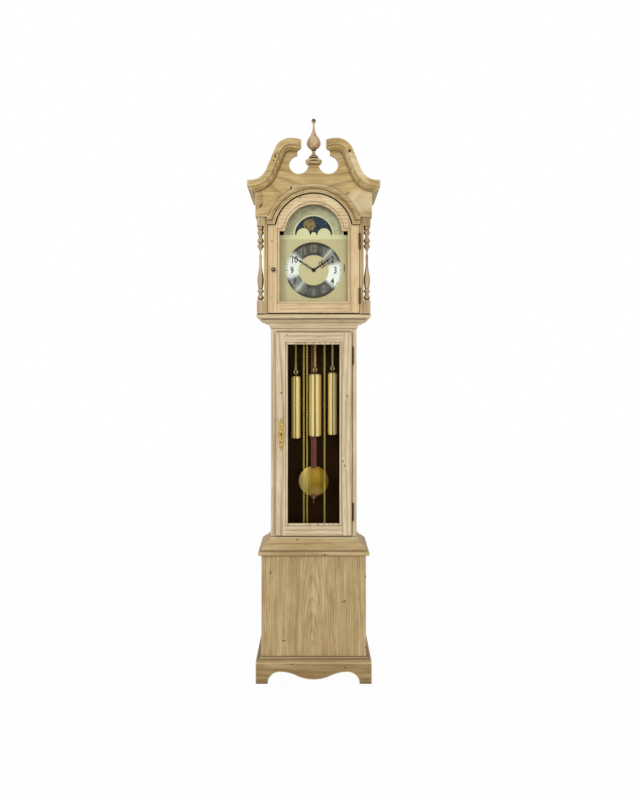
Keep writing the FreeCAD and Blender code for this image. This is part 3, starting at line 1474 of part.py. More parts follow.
def make_hands():
    """Hour hand on its pipe; minute hand on the centre arbor with its nut."""
    ring_y = value("dial_front_y - chapter_thickness")
    gap = value("hand_gap")
    thickness = value("hand_thickness")
    centre = V(0, 0, value("dial_centre_z"))
    pipe = value("pipe_radius")
    arbor = value("arbor_radius")
    clearance = value("train_clearance")
    hour_rear = ring_y - gap
    hour = hand_shape("hour_hand_length", "hour_hand_angle", hour_rear, HOUR_BAR_SHARES,
                      HOUR_LOOP_SHARES, arbor + clearance)
    pipe_start = centre + V(0, hour_rear, 0)
    pipe_length = -value("front_plate_depth") - gap - hour_rear
    tube = Part.makeCylinder(pipe, pipe_length, pipe_start, V(0, 1, 0))
    bore = Part.makeCylinder(arbor + clearance, pipe_length, pipe_start, V(0, 1, 0))
    keep("hour_hand", add_solid("HourHand", hour.fuse(tube.cut(bore)).removeSplitter()))
    minute_rear = hour_rear - thickness - gap
    minute = hand_shape("minute_hand_length", "minute_hand_angle", minute_rear, MINUTE_BAR_SHARES,
                        MINUTE_LOOP_SHARES, arbor * HAND_BORE_SHARE)
    nut_rear = minute_rear - thickness
    nut_thickness = value("hand_nut_thickness")
    back_end = value("back_plate_depth + plate_thickness")
    start = nut_rear - nut_thickness
    rod = Part.makeCylinder(arbor, back_end - start, centre + V(0, start, 0), V(0, 1, 0))
    nut = Part.makeCylinder(value("hand_nut_radius"), nut_thickness, centre + V(0, start, 0), V(0, 1, 0))
    keep("minute_hand", add_solid("MinuteHand", minute.fuse([rod, nut]).removeSplitter()))


def make_movement():
    """Movement plates on the seat board; pillars are riveted to the rear plate."""
    outline = [
        ("-plate_left_width", "seat_top_z"),
        ("plate_right_width", "seat_top_z"),
        ("plate_right_width", "plate_top_z"),
        ("-plate_left_width", "plate_top_z"),
    ]
    bores = [((f"sprocket_{side}_x", "sprocket_z"), "sprocket_arbor_radius + train_clearance")
             for side in SIDES]
    bores.append((("0", "dial_centre_z"), "arbor_radius + train_clearance"))
    bores.append((("0", "suspension_z"), "arbor_radius + train_clearance"))
    front_plate = flat_plate("FrontPlate", "-front_plate_depth", "plate_thickness", [outline], bores)
    keep("movement_front_plate", front_plate)
    sheet = flat_plate("BackPlateSheet", "back_plate_depth", "plate_thickness", [outline], bores)
    parts = [sheet]
    front_face = "plate_thickness - front_plate_depth"
    for number, (x, z) in enumerate((
            ("pillar_inset - plate_left_width", "seat_top_z + pillar_inset"),
            ("plate_right_width - pillar_inset", "seat_top_z + pillar_inset"),
            ("pillar_inset - plate_left_width", "plate_top_z - pillar_inset"),
            ("plate_right_width - pillar_inset", "plate_top_z - pillar_inset"))):
        parts.append(cylinder(f"Pillar{number}", "pillar_radius", (x, front_face, z),
                              f"back_plate_depth - ({front_face})", "y"))
    rear = "back_plate_depth + plate_thickness"
    shelf = "suspension_z + eye_height + chain_clearance"
    parts.append(box("CockShelf", ("-cock_width / 2", "cock_width / 2"), (rear, f"{rear} + cock_reach"),
                     (shelf, f"{shelf} + cock_thickness")))
    parts.append(box("CockCheek", ("-cock_width / 2", "cock_width / 2"),
                     (f"{rear} + cock_reach - cock_thickness", f"{rear} + cock_reach"),
                     ("suspension_z - cock_thickness", f"{shelf} + cock_thickness")))
    stud_start = "pendulum_y - stick_thickness / 2 - stud_radius"
    parts.append(cylinder("SuspensionStud", "stud_radius", ("0", stud_start, "suspension_z"),
                          f"{rear} + cock_reach - ({stud_start})", "y"))
    keep("movement_back_plate", fuse("BackPlate", parts))


def make_trains():
    """Three chain sprockets on their arbors."""
    groove = "sprocket_pitch_radius - chain_radius - chain_clearance"
    inner = "chain_radius + 2 * chain_clearance"
    outer = f"{inner} + sprocket_flange_thickness"
    for side in SIDES:
        profile = [
            ("-front_plate_depth - chain_clearance", "0"),
            ("-front_plate_depth - chain_clearance", "sprocket_arbor_radius"),
            (f"chain_y - ({outer})", "sprocket_arbor_radius"),
            (f"chain_y - ({outer})", "sprocket_flange_radius"),
            (f"chain_y - ({inner})", "sprocket_flange_radius"),
            (f"chain_y - ({inner})", groove),
            (f"chain_y + {inner}", groove),
            (f"chain_y + {inner}", "sprocket_flange_radius"),
            (f"chain_y + {outer}", "sprocket_flange_radius"),
            (f"chain_y + {outer}", "sprocket_arbor_radius"),
            ("back_plate_depth + plate_thickness + chain_clearance", "sprocket_arbor_radius"),
            ("back_plate_depth + plate_thickness + chain_clearance", "0"),
        ]
        wheel = turned_forward("Sprocket" + side.title(), (f"sprocket_{side}_x", "sprocket_z"), profile)
        keep(f"sprocket_{side}", wheel)


def ring(name, centre, radius, wire):
    """Upright wire ring seen face on from the front."""
    hoop = doc.addObject("Part::Torus", name)
    hoop.Placement = FreeCAD.Placement(V(0, 0, 0), FreeCAD.Rotation(V(1, 0, 0), 90))
    hoop.setExpression("Radius1", bind(radius))
    hoop.setExpression("Radius2", bind(wire))
    for letter, place in zip("xyz", centre):
        hoop.setExpression(f"Placement.Base.{letter}", bind(place))
    return hoop


def make_weights():
    """Weight shells with hooks, loaded and free chain strands, and the free ends' rings."""
    for side in SIDES:
        title = side.title()
        loaded = "+" if side != "left" else "-"
        free = "-" if side != "left" else "+"
        x = f"sprocket_{side}_x {loaded} sprocket_pitch_radius"
        free_x = f"sprocket_{side}_x {free} sprocket_pitch_radius"
        radius = "centre_weight_radius" if side == "centre" else "weight_radius"
        top = f"sprocket_z - {side}_weight_drop"
        foot = f"{top} - weight_length"
        profile = [
            ("0", foot),
            (f"{WEIGHT_END_SHARE} * {radius}", foot),
            (f"{radius} - weight_cap / 2", f"{foot} + weight_cap / 2"),
            (f"{radius} - weight_cap / 2", f"{foot} + weight_cap"),
            (radius, f"{foot} + weight_cap"),
            (radius, f"{top} - weight_cap"),
            (f"{radius} - weight_cap / 2", f"{top} - weight_cap"),
            (f"{radius} - weight_cap / 2", f"{top} - weight_cap / 2"),
            (f"{WEIGHT_END_SHARE} * {radius}", top),
            ("0", top),
        ]
        shell = turned_upright(f"WeightShell{title}", (x, "chain_y"), profile)
        stem_top = f"{top} + hook_stem_height"
        stem = cylinder(f"HookStem{title}", "hook_stem_radius", (x, "chain_y", top), "hook_stem_height", "z")
        eye_place = (x, "chain_y", f"{stem_top} + hook_ring_radius")
        eye = ring(f"HookRing{title}", eye_place, "hook_ring_radius", "hook_wire_radius")
        keep(f"weight_{side}", fuse(f"Weight{title}", [shell, stem, eye]))
        hook_top = f"{stem_top} + 2 * hook_ring_radius + hook_wire_radius"
        strands = (("loaded", x, hook_top), ("free", free_x, "free_end_z"))
        for kind, strand_x, low in strands:
            strand = cylinder("Chain" + kind.title() + title, "chain_radius", (strand_x, "chain_y", low),
                              f"sprocket_z - ({low})", "z")
            keep(f"chain_{kind}_{side}", strand)
        keep(f"chain_end_{side}", ring(f"ChainEnd{title}",
                                       (free_x, "chain_y", "free_end_z - end_ring_radius"),
                                       "end_ring_radius - end_ring_wire_radius", "end_ring_wire_radius"))


def make_pendulum():
    """Suspension eye and spring, wood stick, brass bob, rating nut, and the crutch with its anchor."""
    front = "pendulum_y - stick_thickness / 2"
    rear = "pendulum_y + stick_thickness / 2"
    stick_top = "suspension_z - stick_top_drop"
    stick_foot = "bob_z - bob_radius - stick_below_bob"
    stick = box("StickBlade", ("-stick_width / 2", "stick_width / 2"), (front, rear),
                (stick_foot, stick_top))
    spring = box("StickSpring", ("-spring_thickness / 2", "spring_thickness / 2"),
                 (f"{front} + eye_half_width / 2", f"{rear} - eye_half_width / 2"),
                 (f"{stick_top}", "suspension_z - eye_height / 2"))
    eye = box("StickEye", ("-eye_half_width", "eye_half_width"), (f"{front} + chain_clearance", rear),
              ("suspension_z - eye_height / 2", "suspension_z + eye_height / 2"))
    bore_start = ("0", f"{front} - overrun", "suspension_z")
    bore = cylinder("StickEyeBore", "stud_radius + train_clearance", bore_start,
                    "stick_thickness + 2 * overrun", "y")
    rod_start = ("0", "pendulum_y", f"{stick_foot} - rating_rod_length")
    rod = cylinder("RatingRod", "rating_rod_radius", rod_start, "rating_rod_length", "z")
    keep("pendulum_stick", cut("PendulumStick", fuse("StickBody", [stick, spring, eye, rod]), [bore]))

    half = "bob_thickness / 2"
    rim = "bob_rim_thickness / 2"
    lens = f"((bob_radius ^ 2 + ({half} - {rim}) ^ 2) / (2 * ({half} - {rim})))"
    profile = [
        (f"pendulum_y + {half}", "0"),
        (f"pendulum_y + {rim}", "bob_radius", lens),
        (f"pendulum_y - {rim}", "bob_radius"),
        (f"pendulum_y - {half}", "0", lens),
    ]
    bob = turned_forward("BobLens", ("0", "bob_z"), profile)
    slot = box("BobSlot",
               ("-stick_width / 2 - bob_slot_clearance", "stick_width / 2 + bob_slot_clearance"),
               (f"{front} - bob_slot_clearance", f"{rear} + bob_slot_clearance"),
               ("bob_z - bob_radius - overrun", "bob_z + bob_radius + overrun"))
    keep("pendulum_bob", cut("PendulumBob", bob, [slot]))
    nut_top = f"{stick_foot} - chain_clearance"
    nut = cylinder("NutBody", "rating_nut_radius", ("0", "pendulum_y", f"{nut_top} - rating_nut_height"),
                   "rating_nut_height", "z")
    nut_bore = cylinder("NutBore", "rating_rod_radius + train_clearance",
                        ("0", "pendulum_y", f"{nut_top} - rating_nut_height - overrun"),
                        "rating_nut_height + 2 * overrun", "z")
    keep("rating_nut", cut("RatingNut", nut, [nut_bore]))

    plate_rear = "back_plate_depth + plate_thickness"
    arm_y = f"{plate_rear} + crutch_gap_behind"
    arbor = cylinder("CrutchArbor", "arbor_radius", ("0", "-front_plate_depth", "suspension_z"),
                     f"{arm_y} + crutch_thickness + front_plate_depth", "y")
    fork_z = "suspension_z - crutch_length"
    arm = box("CrutchArm", ("-crutch_width / 2", "crutch_width / 2"),
              (arm_y, f"{arm_y} + crutch_thickness"), (fork_z, "suspension_z + arbor_radius"))
    reach = "stick_width / 2 + crutch_gap + crutch_prong_width"
    bar = box("CrutchBar", (f"-({reach})", reach), (arm_y, f"{arm_y} + crutch_thickness"),
              (fork_z, f"{fork_z} + crutch_width"))
    left = box("CrutchProngLeft", (f"-({reach})", f"crutch_prong_width - ({reach})"), (arm_y, rear),
               (fork_z, f"{fork_z} + crutch_width"))
    right = box("CrutchProngRight", (f"{reach} - crutch_prong_width", reach), (arm_y, rear),
                (fork_z, f"{fork_z} + crutch_width"))
    anchor_y = "chain_y - anchor_thickness"
    depth = (anchor_y, "chain_y")
    anchor = box("AnchorBar", ("-anchor_width / 2", "anchor_width / 2"), depth,
                 ("suspension_z - arbor_radius", "suspension_z + arbor_radius"))
    pallets = [box(f"Pallet{number}", (low, high), depth, ("suspension_z - anchor_height", "suspension_z"))
               for number, (low, high) in enumerate((
                   ("-anchor_width / 2", "anchor_thickness - anchor_width / 2"),
                   ("anchor_width / 2 - anchor_thickness", "anchor_width / 2")))]
    keep("crutch", fuse("Crutch", [arbor, arm, bar, left, right, anchor] + pallets))


def make_chimes():
    """Iron block on the back board with its chime rods hanging behind the pendulum."""
    base = "rod_block_z"
    span = "(rod_count - 1) * rod_pitch / 2 + rod_block_depth / 2"
    block = box("RodBlock", (f"-({span})", span), ("inner_back_y - rod_block_depth", "inner_back_y"),
                (base, f"{base} + rod_block_height"))
    rods = [cylinder(f"ChimeRod{number}", "rod_radius",
                     (f"({number} - (rod_count - 1) / 2) * rod_pitch", "inner_back_y - rod_block_depth / 2",
                      f"{base} - rod_length"), "rod_length", "z")
            for number in range(int(SIZES["rod_count"]))]
    keep("chime_rods", fuse("ChimeRods", [block] + rods))


def finish_model():
    """Rebuild the document, test every object and write each sub-part's solid."""
    doc.recompute()
    faults = [thing.Label for thing in doc.Objects if {"Invalid", "Error"} & set(thing.State)]
    for label, thing in NODES.items():
        shape = thing.Shape
        if shape.isNull() or not shape.isValid() or not shape.Solids:
            faults.append(label)
    if faults:
        raise RuntimeError("not sound: " + ", ".join(faults))
    for label, thing in NODES.items():
        thing.Shape.exportStep(os.path.join("parts", label + ".step"))
    print(len(NODES), "sub-parts")


make_plinth()
make_base()
make_waist()
make_hood_base()
make_hood_box()
make_scroll_board()
make_swan_necks()
make_arch_moulding()
make_finial()
make_hinges()
make_hood_door()
make_waist_door()
make_escutcheon()
make_dial()
make_hands()
make_movement()
make_trains()
make_weights()
make_pendulum()
make_chimes()
finish_model()
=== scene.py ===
"""Looks of a longcase clock in limed pine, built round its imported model.

The front faces -Y, Z is up, and lengths are in metres unless a name says mm.
"""

import math

import bpy
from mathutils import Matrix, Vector


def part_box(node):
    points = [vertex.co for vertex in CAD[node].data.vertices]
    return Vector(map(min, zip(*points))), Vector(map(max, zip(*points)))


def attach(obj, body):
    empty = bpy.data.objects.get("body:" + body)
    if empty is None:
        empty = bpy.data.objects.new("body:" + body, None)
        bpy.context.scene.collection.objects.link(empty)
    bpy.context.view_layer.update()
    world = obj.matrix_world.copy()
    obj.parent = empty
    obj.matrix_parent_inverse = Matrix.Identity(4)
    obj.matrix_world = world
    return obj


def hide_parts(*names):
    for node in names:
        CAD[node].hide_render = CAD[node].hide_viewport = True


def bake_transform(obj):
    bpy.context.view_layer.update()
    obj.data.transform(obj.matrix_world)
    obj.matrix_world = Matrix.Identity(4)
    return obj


bl_info = {
    "name": "Longcase clock looks",
    "version": (1, 0, 0),
    "blender": (4, 5, 0),
    "location": "View3D > Sidebar > Clock",
    "description": "Wood, brass, dial, chains and stage of a longcase clock",
    "category": "Object",
}

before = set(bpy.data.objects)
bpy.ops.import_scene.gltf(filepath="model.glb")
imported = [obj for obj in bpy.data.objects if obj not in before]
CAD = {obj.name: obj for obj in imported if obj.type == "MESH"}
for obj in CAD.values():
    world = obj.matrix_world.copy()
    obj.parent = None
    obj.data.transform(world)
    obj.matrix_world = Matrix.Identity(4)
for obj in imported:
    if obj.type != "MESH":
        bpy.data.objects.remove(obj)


def centre_of(box):
    """Centre of a box given by its two corners."""
    return (box[0] + box[1]) / 2


MM = 0.001
SIDES = ("left", "centre", "right")
DIAL_CENTRE = centre_of(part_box("chapter_ring"))
RING_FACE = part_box("chapter_ring")[0].y
DIAL_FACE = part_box("dial_plate")[0].y
ARCH_CENTRE = centre_of(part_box("moon_disc"))
HOUR_STEP = math.pi / 6
HOUR_CIRCLE = 77 * MM
DOT_CIRCLE = 95.5 * MM
LUNAR_CIRCLE = 76 * MM
MEDALLION = 17.4 * MM
MARK_THICKNESS = 0.2 * MM
# the font's digits are this share of its size high, and are drawn narrower than it has them
DIGIT_SHARE = 0.73
DIGIT_NARROWING = 0.75
# a line under the arch parts the dial's paler top from its field; height from the moon disc's centre
ARCH_LINE = DIAL_CENTRE.z + 110 * MM - ARCH_CENTRE.z
MOON_ORBIT = 38.5 * MM
MOON_TURN = math.radians(113)
MOON_RADIUS = 22.5 * MM
# turns a flat shape, or the camera, to face the front
UPRIGHT = (math.pi / 2, 0, 0)
FLOOR_HALF = 6.0
SEEN_DIRECTLY = ("Is Camera Ray", "Is Glossy Ray", "Is Transmission Ray")
# share of the floor's white that is its own, and the strength of the room's light on the object
FLOOR_GLOW = 0.97
ROOM_LIGHT = 0.46
CAMERA_PLACE = (0, -2.313, 1.088)
# strands' end links are centred this far within them, and so reach into the hook and over the sprocket
END_LINK = 3 * MM
# middle of the clock, and each lamp's place, width and power
AIM = Vector((0, 0, 1.0))
LAMPS = (("key", (-1.7, -3.2, 2.5), 0.8, 28), ("front", (0.5, -3.6, 1.3), 1.4, 21),
         ("top", (0, -0.5, 4.2), 1.6, 18))
# how much slower a log's pattern changes along it than across it
LOG_TAPER = 0.16
# patterns of the wood as scale per metre across, through and along the board: threads of lime in the
# pores about 1.6 mm wide, streaks about 9 mm wide, and a cloudy wash about 40 mm wide
PORES = (620, 620, 16)
STREAKS = (110, 110, 5)
WASH = (24, 24, 8)
# a growth ring: pale early wood, late wood that darkens to a sharp line, and back
LATE_WOOD = ((0.5, 0.0), (0.88, 1.0), (0.99, 0.1))
# spacing of a brushed metal's lines in mm along each axis
FINE_LINES = (0.6, 0.6, 0.6)
# shine of waxed wood, and of the dull, nearly black inside of the trunk
WAX_SHINE = 0.35
INNER_SHINE = 0.04
# painted sheen of the chapter ring, painted highlights and painted shade round it: degrees clockwise from
# twelve, and brightness
RING_PAINTED_SHEEN = ((0, 0.0), (31, 0.02), (37, 0.2), (41, 0.6), (46, 0.25), (56, 0.12), (68, 0.2), (76, 0.8),
              (84, 0.95), (124, 0.95), (131, 0.35), (137, 0.03), (178, 0.0), (208, 0.04), (216, 0.25),
              (221, 0.6), (227, 0.25), (236, 0.14), (247, 0.2), (255, 0.8), (262, 0.95), (304, 0.95),
              (312, 0.4), (319, 0.03), (360, 0.0))
# painted reflection on a weight's polished tube, bright and dark bands: share of the way across, and brightness
TUBE_PAINTED_REFLECTION = ((0, 0.0), (0.05, 0.4), (0.12, 0.8), (0.2, 0.48), (0.34, 1.0), (0.42, 0.5), (0.47, 0.0),
              (0.53, 0.0), (0.58, 0.45), (0.66, 1.0), (0.8, 0.68), (0.92, 0.74), (1, 0.1))
# dents, scratches and worm holes of a node, and painted shade on the finial: x, z, half length and half width
# in mm, and degrees
NICKS_AND_SHADE = {
    "scroll_board": ((-79.4, 1734, 3, 9, -14), (-184.4, 1672.7, 3, 9, -28), (118.2, 1714.7, 9, 2, 38)),
    "hood_door_frame": ((-48, 1701.8, 3, 3, 0), (-146.1, 1549.4, 4, 2, -35)),
    "swan_necks": ((124.1, 1855, 6, 7, 0), (-132.1, 1835.3, 3, 6, 0), (-138.3, 1822.1, 4, 3, 0)),
    "waist_door_frame": ((-92.7, 1223.2, 3, 2, 0), (-115.5, 1015.8, 3, 4, 0), (119.8, 1004.8, 2, 6, 0),
                         (104.4, 773.1, 3, 3, 0), (109.8, 757.1, 2, 5, 0)),
    "waist_front_frame": ((-137.4, 917.5, 2, 5, 0), (-137, 863.1, 2, 4, 0)),
    "base_moulding": ((-60.6, 493.1, 5, 2, 0), (39.7, 449.6, 6, 2, 0)),
    "base_front_panel": ((-153.2, 382.7, 3, 4, 0), (108, 282.1, 9, 2, 22), (-105.9, 143.4, 9, 2, -20),
                         (182.8, 370.3, 2, 5, 0), (183.9, 119.7, 2, 5, 0)),
    "plinth_front": ((-74.2, 67.2, 4, 2, 0), (109.6, 56.7, 3, 3, 0)),
    # the finial's tip painted dark, and painted shade in its rings
    "finial": ((0, 1973, 7, 7, 0), (0, 1867, 13, 2.5, 0), (0, 1838.5, 15, 2.5, 0), (0, 1824, 18, 2, 0)),
}
# pale patches, given as the nicks are: partly rubbed by handling, partly painted highlight
WORN_AND_HIGHLIT = {
    "swan_necks": ((150, 1800, 75, 16, -58), (-150, 1850, 40, 14, 55)),
    "scroll_board": ((170, 1690, 60, 45, 0), (-20, 1735, 70, 14, 0)),
    "hood_door_frame": ((60, 1690, 45, 16, -35), (-75, 1650, 40, 14, 62), (100, 1450, 60, 10, 90)),
    "waist_front_frame": ((-137, 1000, 220, 8, 90), (128, 900, 200, 8, 90)),
}


def linear(colour):
    """Linear RGBA of an sRGB hex colour."""
    parts = [int(colour[place:place + 2], 16) / 255 for place in (1, 3, 5)]
    return [part / 12.92 if part <= 0.04045 else ((part + 0.055) / 1.055) ** 2.4 for part in parts] + [1.0]


def add(tree, kind, inputs=None, **settings):
    """Add a node, set its properties, and set or link its inputs by name or place.

    A node given for an input is linked by the first output it has in use, and a hex colour is made linear.
    """
    made = tree.nodes.new(kind)
    for name, setting in settings.items():
        setattr(made, name, setting)
    for name, given in (inputs or {}).items():
        if isinstance(given, bpy.types.Node):
            given = next(output for output in given.outputs if output.enabled)
        if isinstance(given, bpy.types.NodeSocket):
            tree.links.new(given, made.inputs[name])
        else:
            made.inputs[name].default_value = linear(given) if isinstance(given, str) else given
    return made


def fresh_material(name):
    """Material with an empty tree, the tree, and the object coordinates in it."""
    material = bpy.data.materials.new(name)
    material.use_nodes = True
    tree = material.node_tree
    tree.nodes.clear()
    return material, tree, add(tree, "ShaderNodeTexCoord").outputs["Object"]


def finished(material, shader):
    """Join a shader to its material's output."""
    add(material.node_tree, "ShaderNodeOutputMaterial", {"Surface": shader})
    return material


def surfaced(material, base, pattern, rough, bump=None, sockets=None, height=None):
    """Finish a material whose roughness follows a pattern between two values.

    The bump is a strength and a depth in mm, and follows the same pattern unless a height is given.
    """
    tree = material.node_tree
    inputs = dict(sockets or {})
    inputs["Base Color"] = base
    inputs["Roughness"] = add(tree, "ShaderNodeMapRange", {0: pattern, 3: rough[0], 4: rough[1]})
    if bump:
        inputs["Normal"] = add(tree, "ShaderNodeBump", {
            "Strength": bump[0], "Distance": bump[1] * MM, "Height": height or pattern})
    return finished(material, add(tree, "ShaderNodeBsdfPrincipled", inputs))


def tinted(tree, base, over, pattern, start, end, most=1.0):
    """Lay a colour over another, more and more as a pattern goes from one value to another."""
    share = add(tree, "ShaderNodeMapRange", {0: pattern, 1: start, 2: end, 4: most})
    return add(tree, "ShaderNodeMix", {0: share, 6: base, 7: over}, data_type="RGBA")


def streaks(tree, spot, scale, detail, rough=0.5):
    """Noise drawn out along the axes, by a scale per metre for each."""
    drawn = add(tree, "ShaderNodeVectorMath", {0: spot, 1: scale}, operation="MULTIPLY")
    return add(tree, "ShaderNodeTexNoise", {
        "Vector": drawn, "Scale": 1.0, "Detail": detail, "Roughness": rough})


def turned_lines(tree, ways, detail, rough=0.5):
    """Noise on polar coordinates, each given with its scale, as a lathe or a round brush leaves it."""
    scaled = [add(tree, "ShaderNodeMath", {0: way, 1: scale}, operation="MULTIPLY") for way, scale in ways]
    flat = add(tree, "ShaderNodeCombineXYZ", dict(enumerate(scaled)))
    return add(tree, "ShaderNodeTexNoise", {
        "Vector": flat, "Scale": 1.0, "Detail": detail, "Roughness": rough})


def brightness(tree, share, profile):
    """Grey that follows a profile of places on a share from 0 to 1, each with its brightness."""
    ramp = add(tree, "ShaderNodeValToRGB", {0: share})
    stops = ramp.color_ramp.elements
    stops.remove(stops[1])
    for count, (place, value) in enumerate(profile):
        stop = stops.new(place) if count else stops[0]
        stop.position = place
        stop.color = (value, value, value, 1)
    return ramp


def rays(tree, *kinds):
    """One for rays of the kinds named, and nought for others."""
    path = add(tree, "ShaderNodeLightPath").outputs
    found = path[kinds[0]]
    for kind in kinds[1:]:
        found = add(tree, "ShaderNodeMath", {0: found, 1: path[kind]}, operation="MAXIMUM")
    return found


def polar(tree, spot, centre):
    """Distance from a centre, clockwise angle from its top, and place across and up, on an upright face."""
    x, _, z = add(tree, "ShaderNodeSeparateXYZ", {0: spot}).outputs
    x = add(tree, "ShaderNodeMath", {0: x, 1: centre.x}, operation="SUBTRACT")
    z = add(tree, "ShaderNodeMath", {0: z, 1: centre.z}, operation="SUBTRACT")
    flat = add(tree, "ShaderNodeCombineXYZ", {0: x, 1: z})
    far = add(tree, "ShaderNodeVectorMath", {0: flat}, operation="LENGTH")
    return far, add(tree, "ShaderNodeMath", {0: x, 1: z}, operation="ARCTAN2"), x, z


def board_space(tree, spot, run):
    """Coordinates whose third axis runs along the grain, and the plain ones."""
    x, y, z = add(tree, "ShaderNodeSeparateXYZ", {0: spot}).outputs
    ways = {"z": (x, y, z), "x": (z, y, x), "y": (x, z, y)}

    def turned(way):
        return add(tree, "ShaderNodeCombineXYZ", dict(enumerate(ways[way])))

    if run in ways:
        return turned(run), (x, y, z)
    away = add(tree, "ShaderNodeMath", {0: x}, operation="ABSOLUTE")
    if run == "mitre":
        # the mouldings turn the corner on a line at 45 degrees in plan
        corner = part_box("waist_front_frame")
        both = add(tree, "ShaderNodeMath", {0: away, 1: y}, operation="ADD")
        side = add(tree, "ShaderNodeMath", {0: both, 1: corner[1].x + corner[0].y},
                   operation="GREATER_THAN")
        first, second = turned("x"), turned("y")
    else:
        # a door: level rails run between the upright stiles
        half, low, high = run
        inner = add(tree, "ShaderNodeMath", {0: away, 1: half}, operation="LESS_THAN")
        up = add(tree, "ShaderNodeMath", {0: z, 1: (low + high) / 2}, operation="SUBTRACT")
        up = add(tree, "ShaderNodeMath", {0: up}, operation="ABSOLUTE")
        beyond = add(tree, "ShaderNodeMath", {0: up, 1: (high - low) / 2}, operation="GREATER_THAN")
        side = add(tree, "ShaderNodeMath", {0: inner, 1: beyond}, operation="MULTIPLY")
        first, second = turned("z"), turned("x")
    return add(tree, "ShaderNodeMix", {0: side, 4: first, 5: second}, data_type="VECTOR"), (x, y, z)


def nick_mask(tree, x, z, nicks_and_painted_light):
    """One within any given patch: a dent, a scratch, a pale patch or painted shade."""
    flat = add(tree, "ShaderNodeCombineXYZ", {0: x, 1: z})
    total = None
    for place_x, place_z, long, wide, turn in nicks_and_painted_light:
        local = add(tree, "ShaderNodeMapping", {
            "Vector": flat, "Location": (place_x * MM, place_z * MM, 0),
            "Rotation": (0, 0, math.radians(turn)), "Scale": (long * MM, wide * MM, 1)},
            vector_type="TEXTURE")
        far = add(tree, "ShaderNodeVectorMath", {0: local}, operation="LENGTH")
        inside = add(tree, "ShaderNodeMapRange", {0: far, 1: 1.15, 2: 0.55},
                     interpolation_type="SMOOTHSTEP")
        if total:
            inside = add(tree, "ShaderNodeMath", {0: total, 1: inside}, operation="MAXIMUM")
        total = inside
    return total


def growth_rings(tree, space, heart, bow, spacing):
    """Late wood of flat-sawn growth rings, brightest on the dark line of each ring.

    The log's heart lies behind the board and bows away from it, which draws the rings out to arches.
    """
    across, deep, along = add(tree, "ShaderNodeSeparateXYZ", {0: space}).outputs
    from_middle = add(tree, "ShaderNodeMath", {0: along, 1: heart[2]}, operation="SUBTRACT")
    bowed = add(tree, "ShaderNodeMath", {0: from_middle, 1: from_middle}, operation="MULTIPLY")
    bowed = add(tree, "ShaderNodeMath", {0: bowed, 1: bow, 2: -heart[1]}, operation="MULTIPLY_ADD")
    log = add(tree, "ShaderNodeCombineXYZ", {
        0: add(tree, "ShaderNodeMath", {0: across, 1: heart[0]}, operation="SUBTRACT"),
        1: add(tree, "ShaderNodeMath", {0: deep, 1: bowed}, operation="ADD"),
        2: add(tree, "ShaderNodeMath", {0: along, 1: LOG_TAPER}, operation="MULTIPLY")})
    # at a scale of one the wave texture's rings stand 2 pi / 20 apart
    rings = add(tree, "ShaderNodeTexWave", {
        "Vector": log, "Scale": 2 * math.pi / 20 / spacing, "Distortion": 4.0, "Detail": 2.0,
        "Detail Scale": 0.5, "Detail Roughness": 0.5},
        wave_type="RINGS", rings_direction="Z", wave_profile="SAW")
    return brightness(tree, rings.outputs["Fac"], LATE_WOOD)


def glazed(tree, base, glaze, depth):
    """Glazing and painted shade: a broad brown shade in hollows, a dark line in corners and along seams."""
    # rows of painted shade: reach in mm, occlusion where clean and where full, most share, own piece only,
    # colour
    for reach, clean, full, most, own, brown in (
            (26, 0.98, 0.6, 0.65, True, "#7A5525"), (9, 0.94, 0.54, 0.95, False, glaze)):
        crease = add(tree, "ShaderNodeAmbientOcclusion", {"Distance": reach * MM}, samples=10, only_local=own)
        base = tinted(tree, base, brown, crease.outputs["AO"], clean, full, most * depth)
    return base


def stained(tree, base, streak, across, deep, limits, stain):
    """Make wood nearly black and dull within a half width and before a depth; colour and shine."""
    away = add(tree, "ShaderNodeMath", {0: across}, operation="ABSOLUTE")
    within = add(tree, "ShaderNodeMath", {0: away, 1: limits[0]}, operation="LESS_THAN")
    before = add(tree, "ShaderNodeMath", {0: deep, 1: limits[1]}, operation="LESS_THAN")
    inside = add(tree, "ShaderNodeMath", {0: within, 1: before}, operation="MULTIPLY")
    dark = add(tree, "ShaderNodeMix", {0: streak, 6: stain, 7: "#482C13"}, data_type="RGBA")
    shine = add(tree, "ShaderNodeMapRange", {0: inside, 3: WAX_SHINE, 4: INNER_SHINE})
    return add(tree, "ShaderNodeMix", {0: inside, 6: base, 7: dark}, data_type="RGBA"), shine


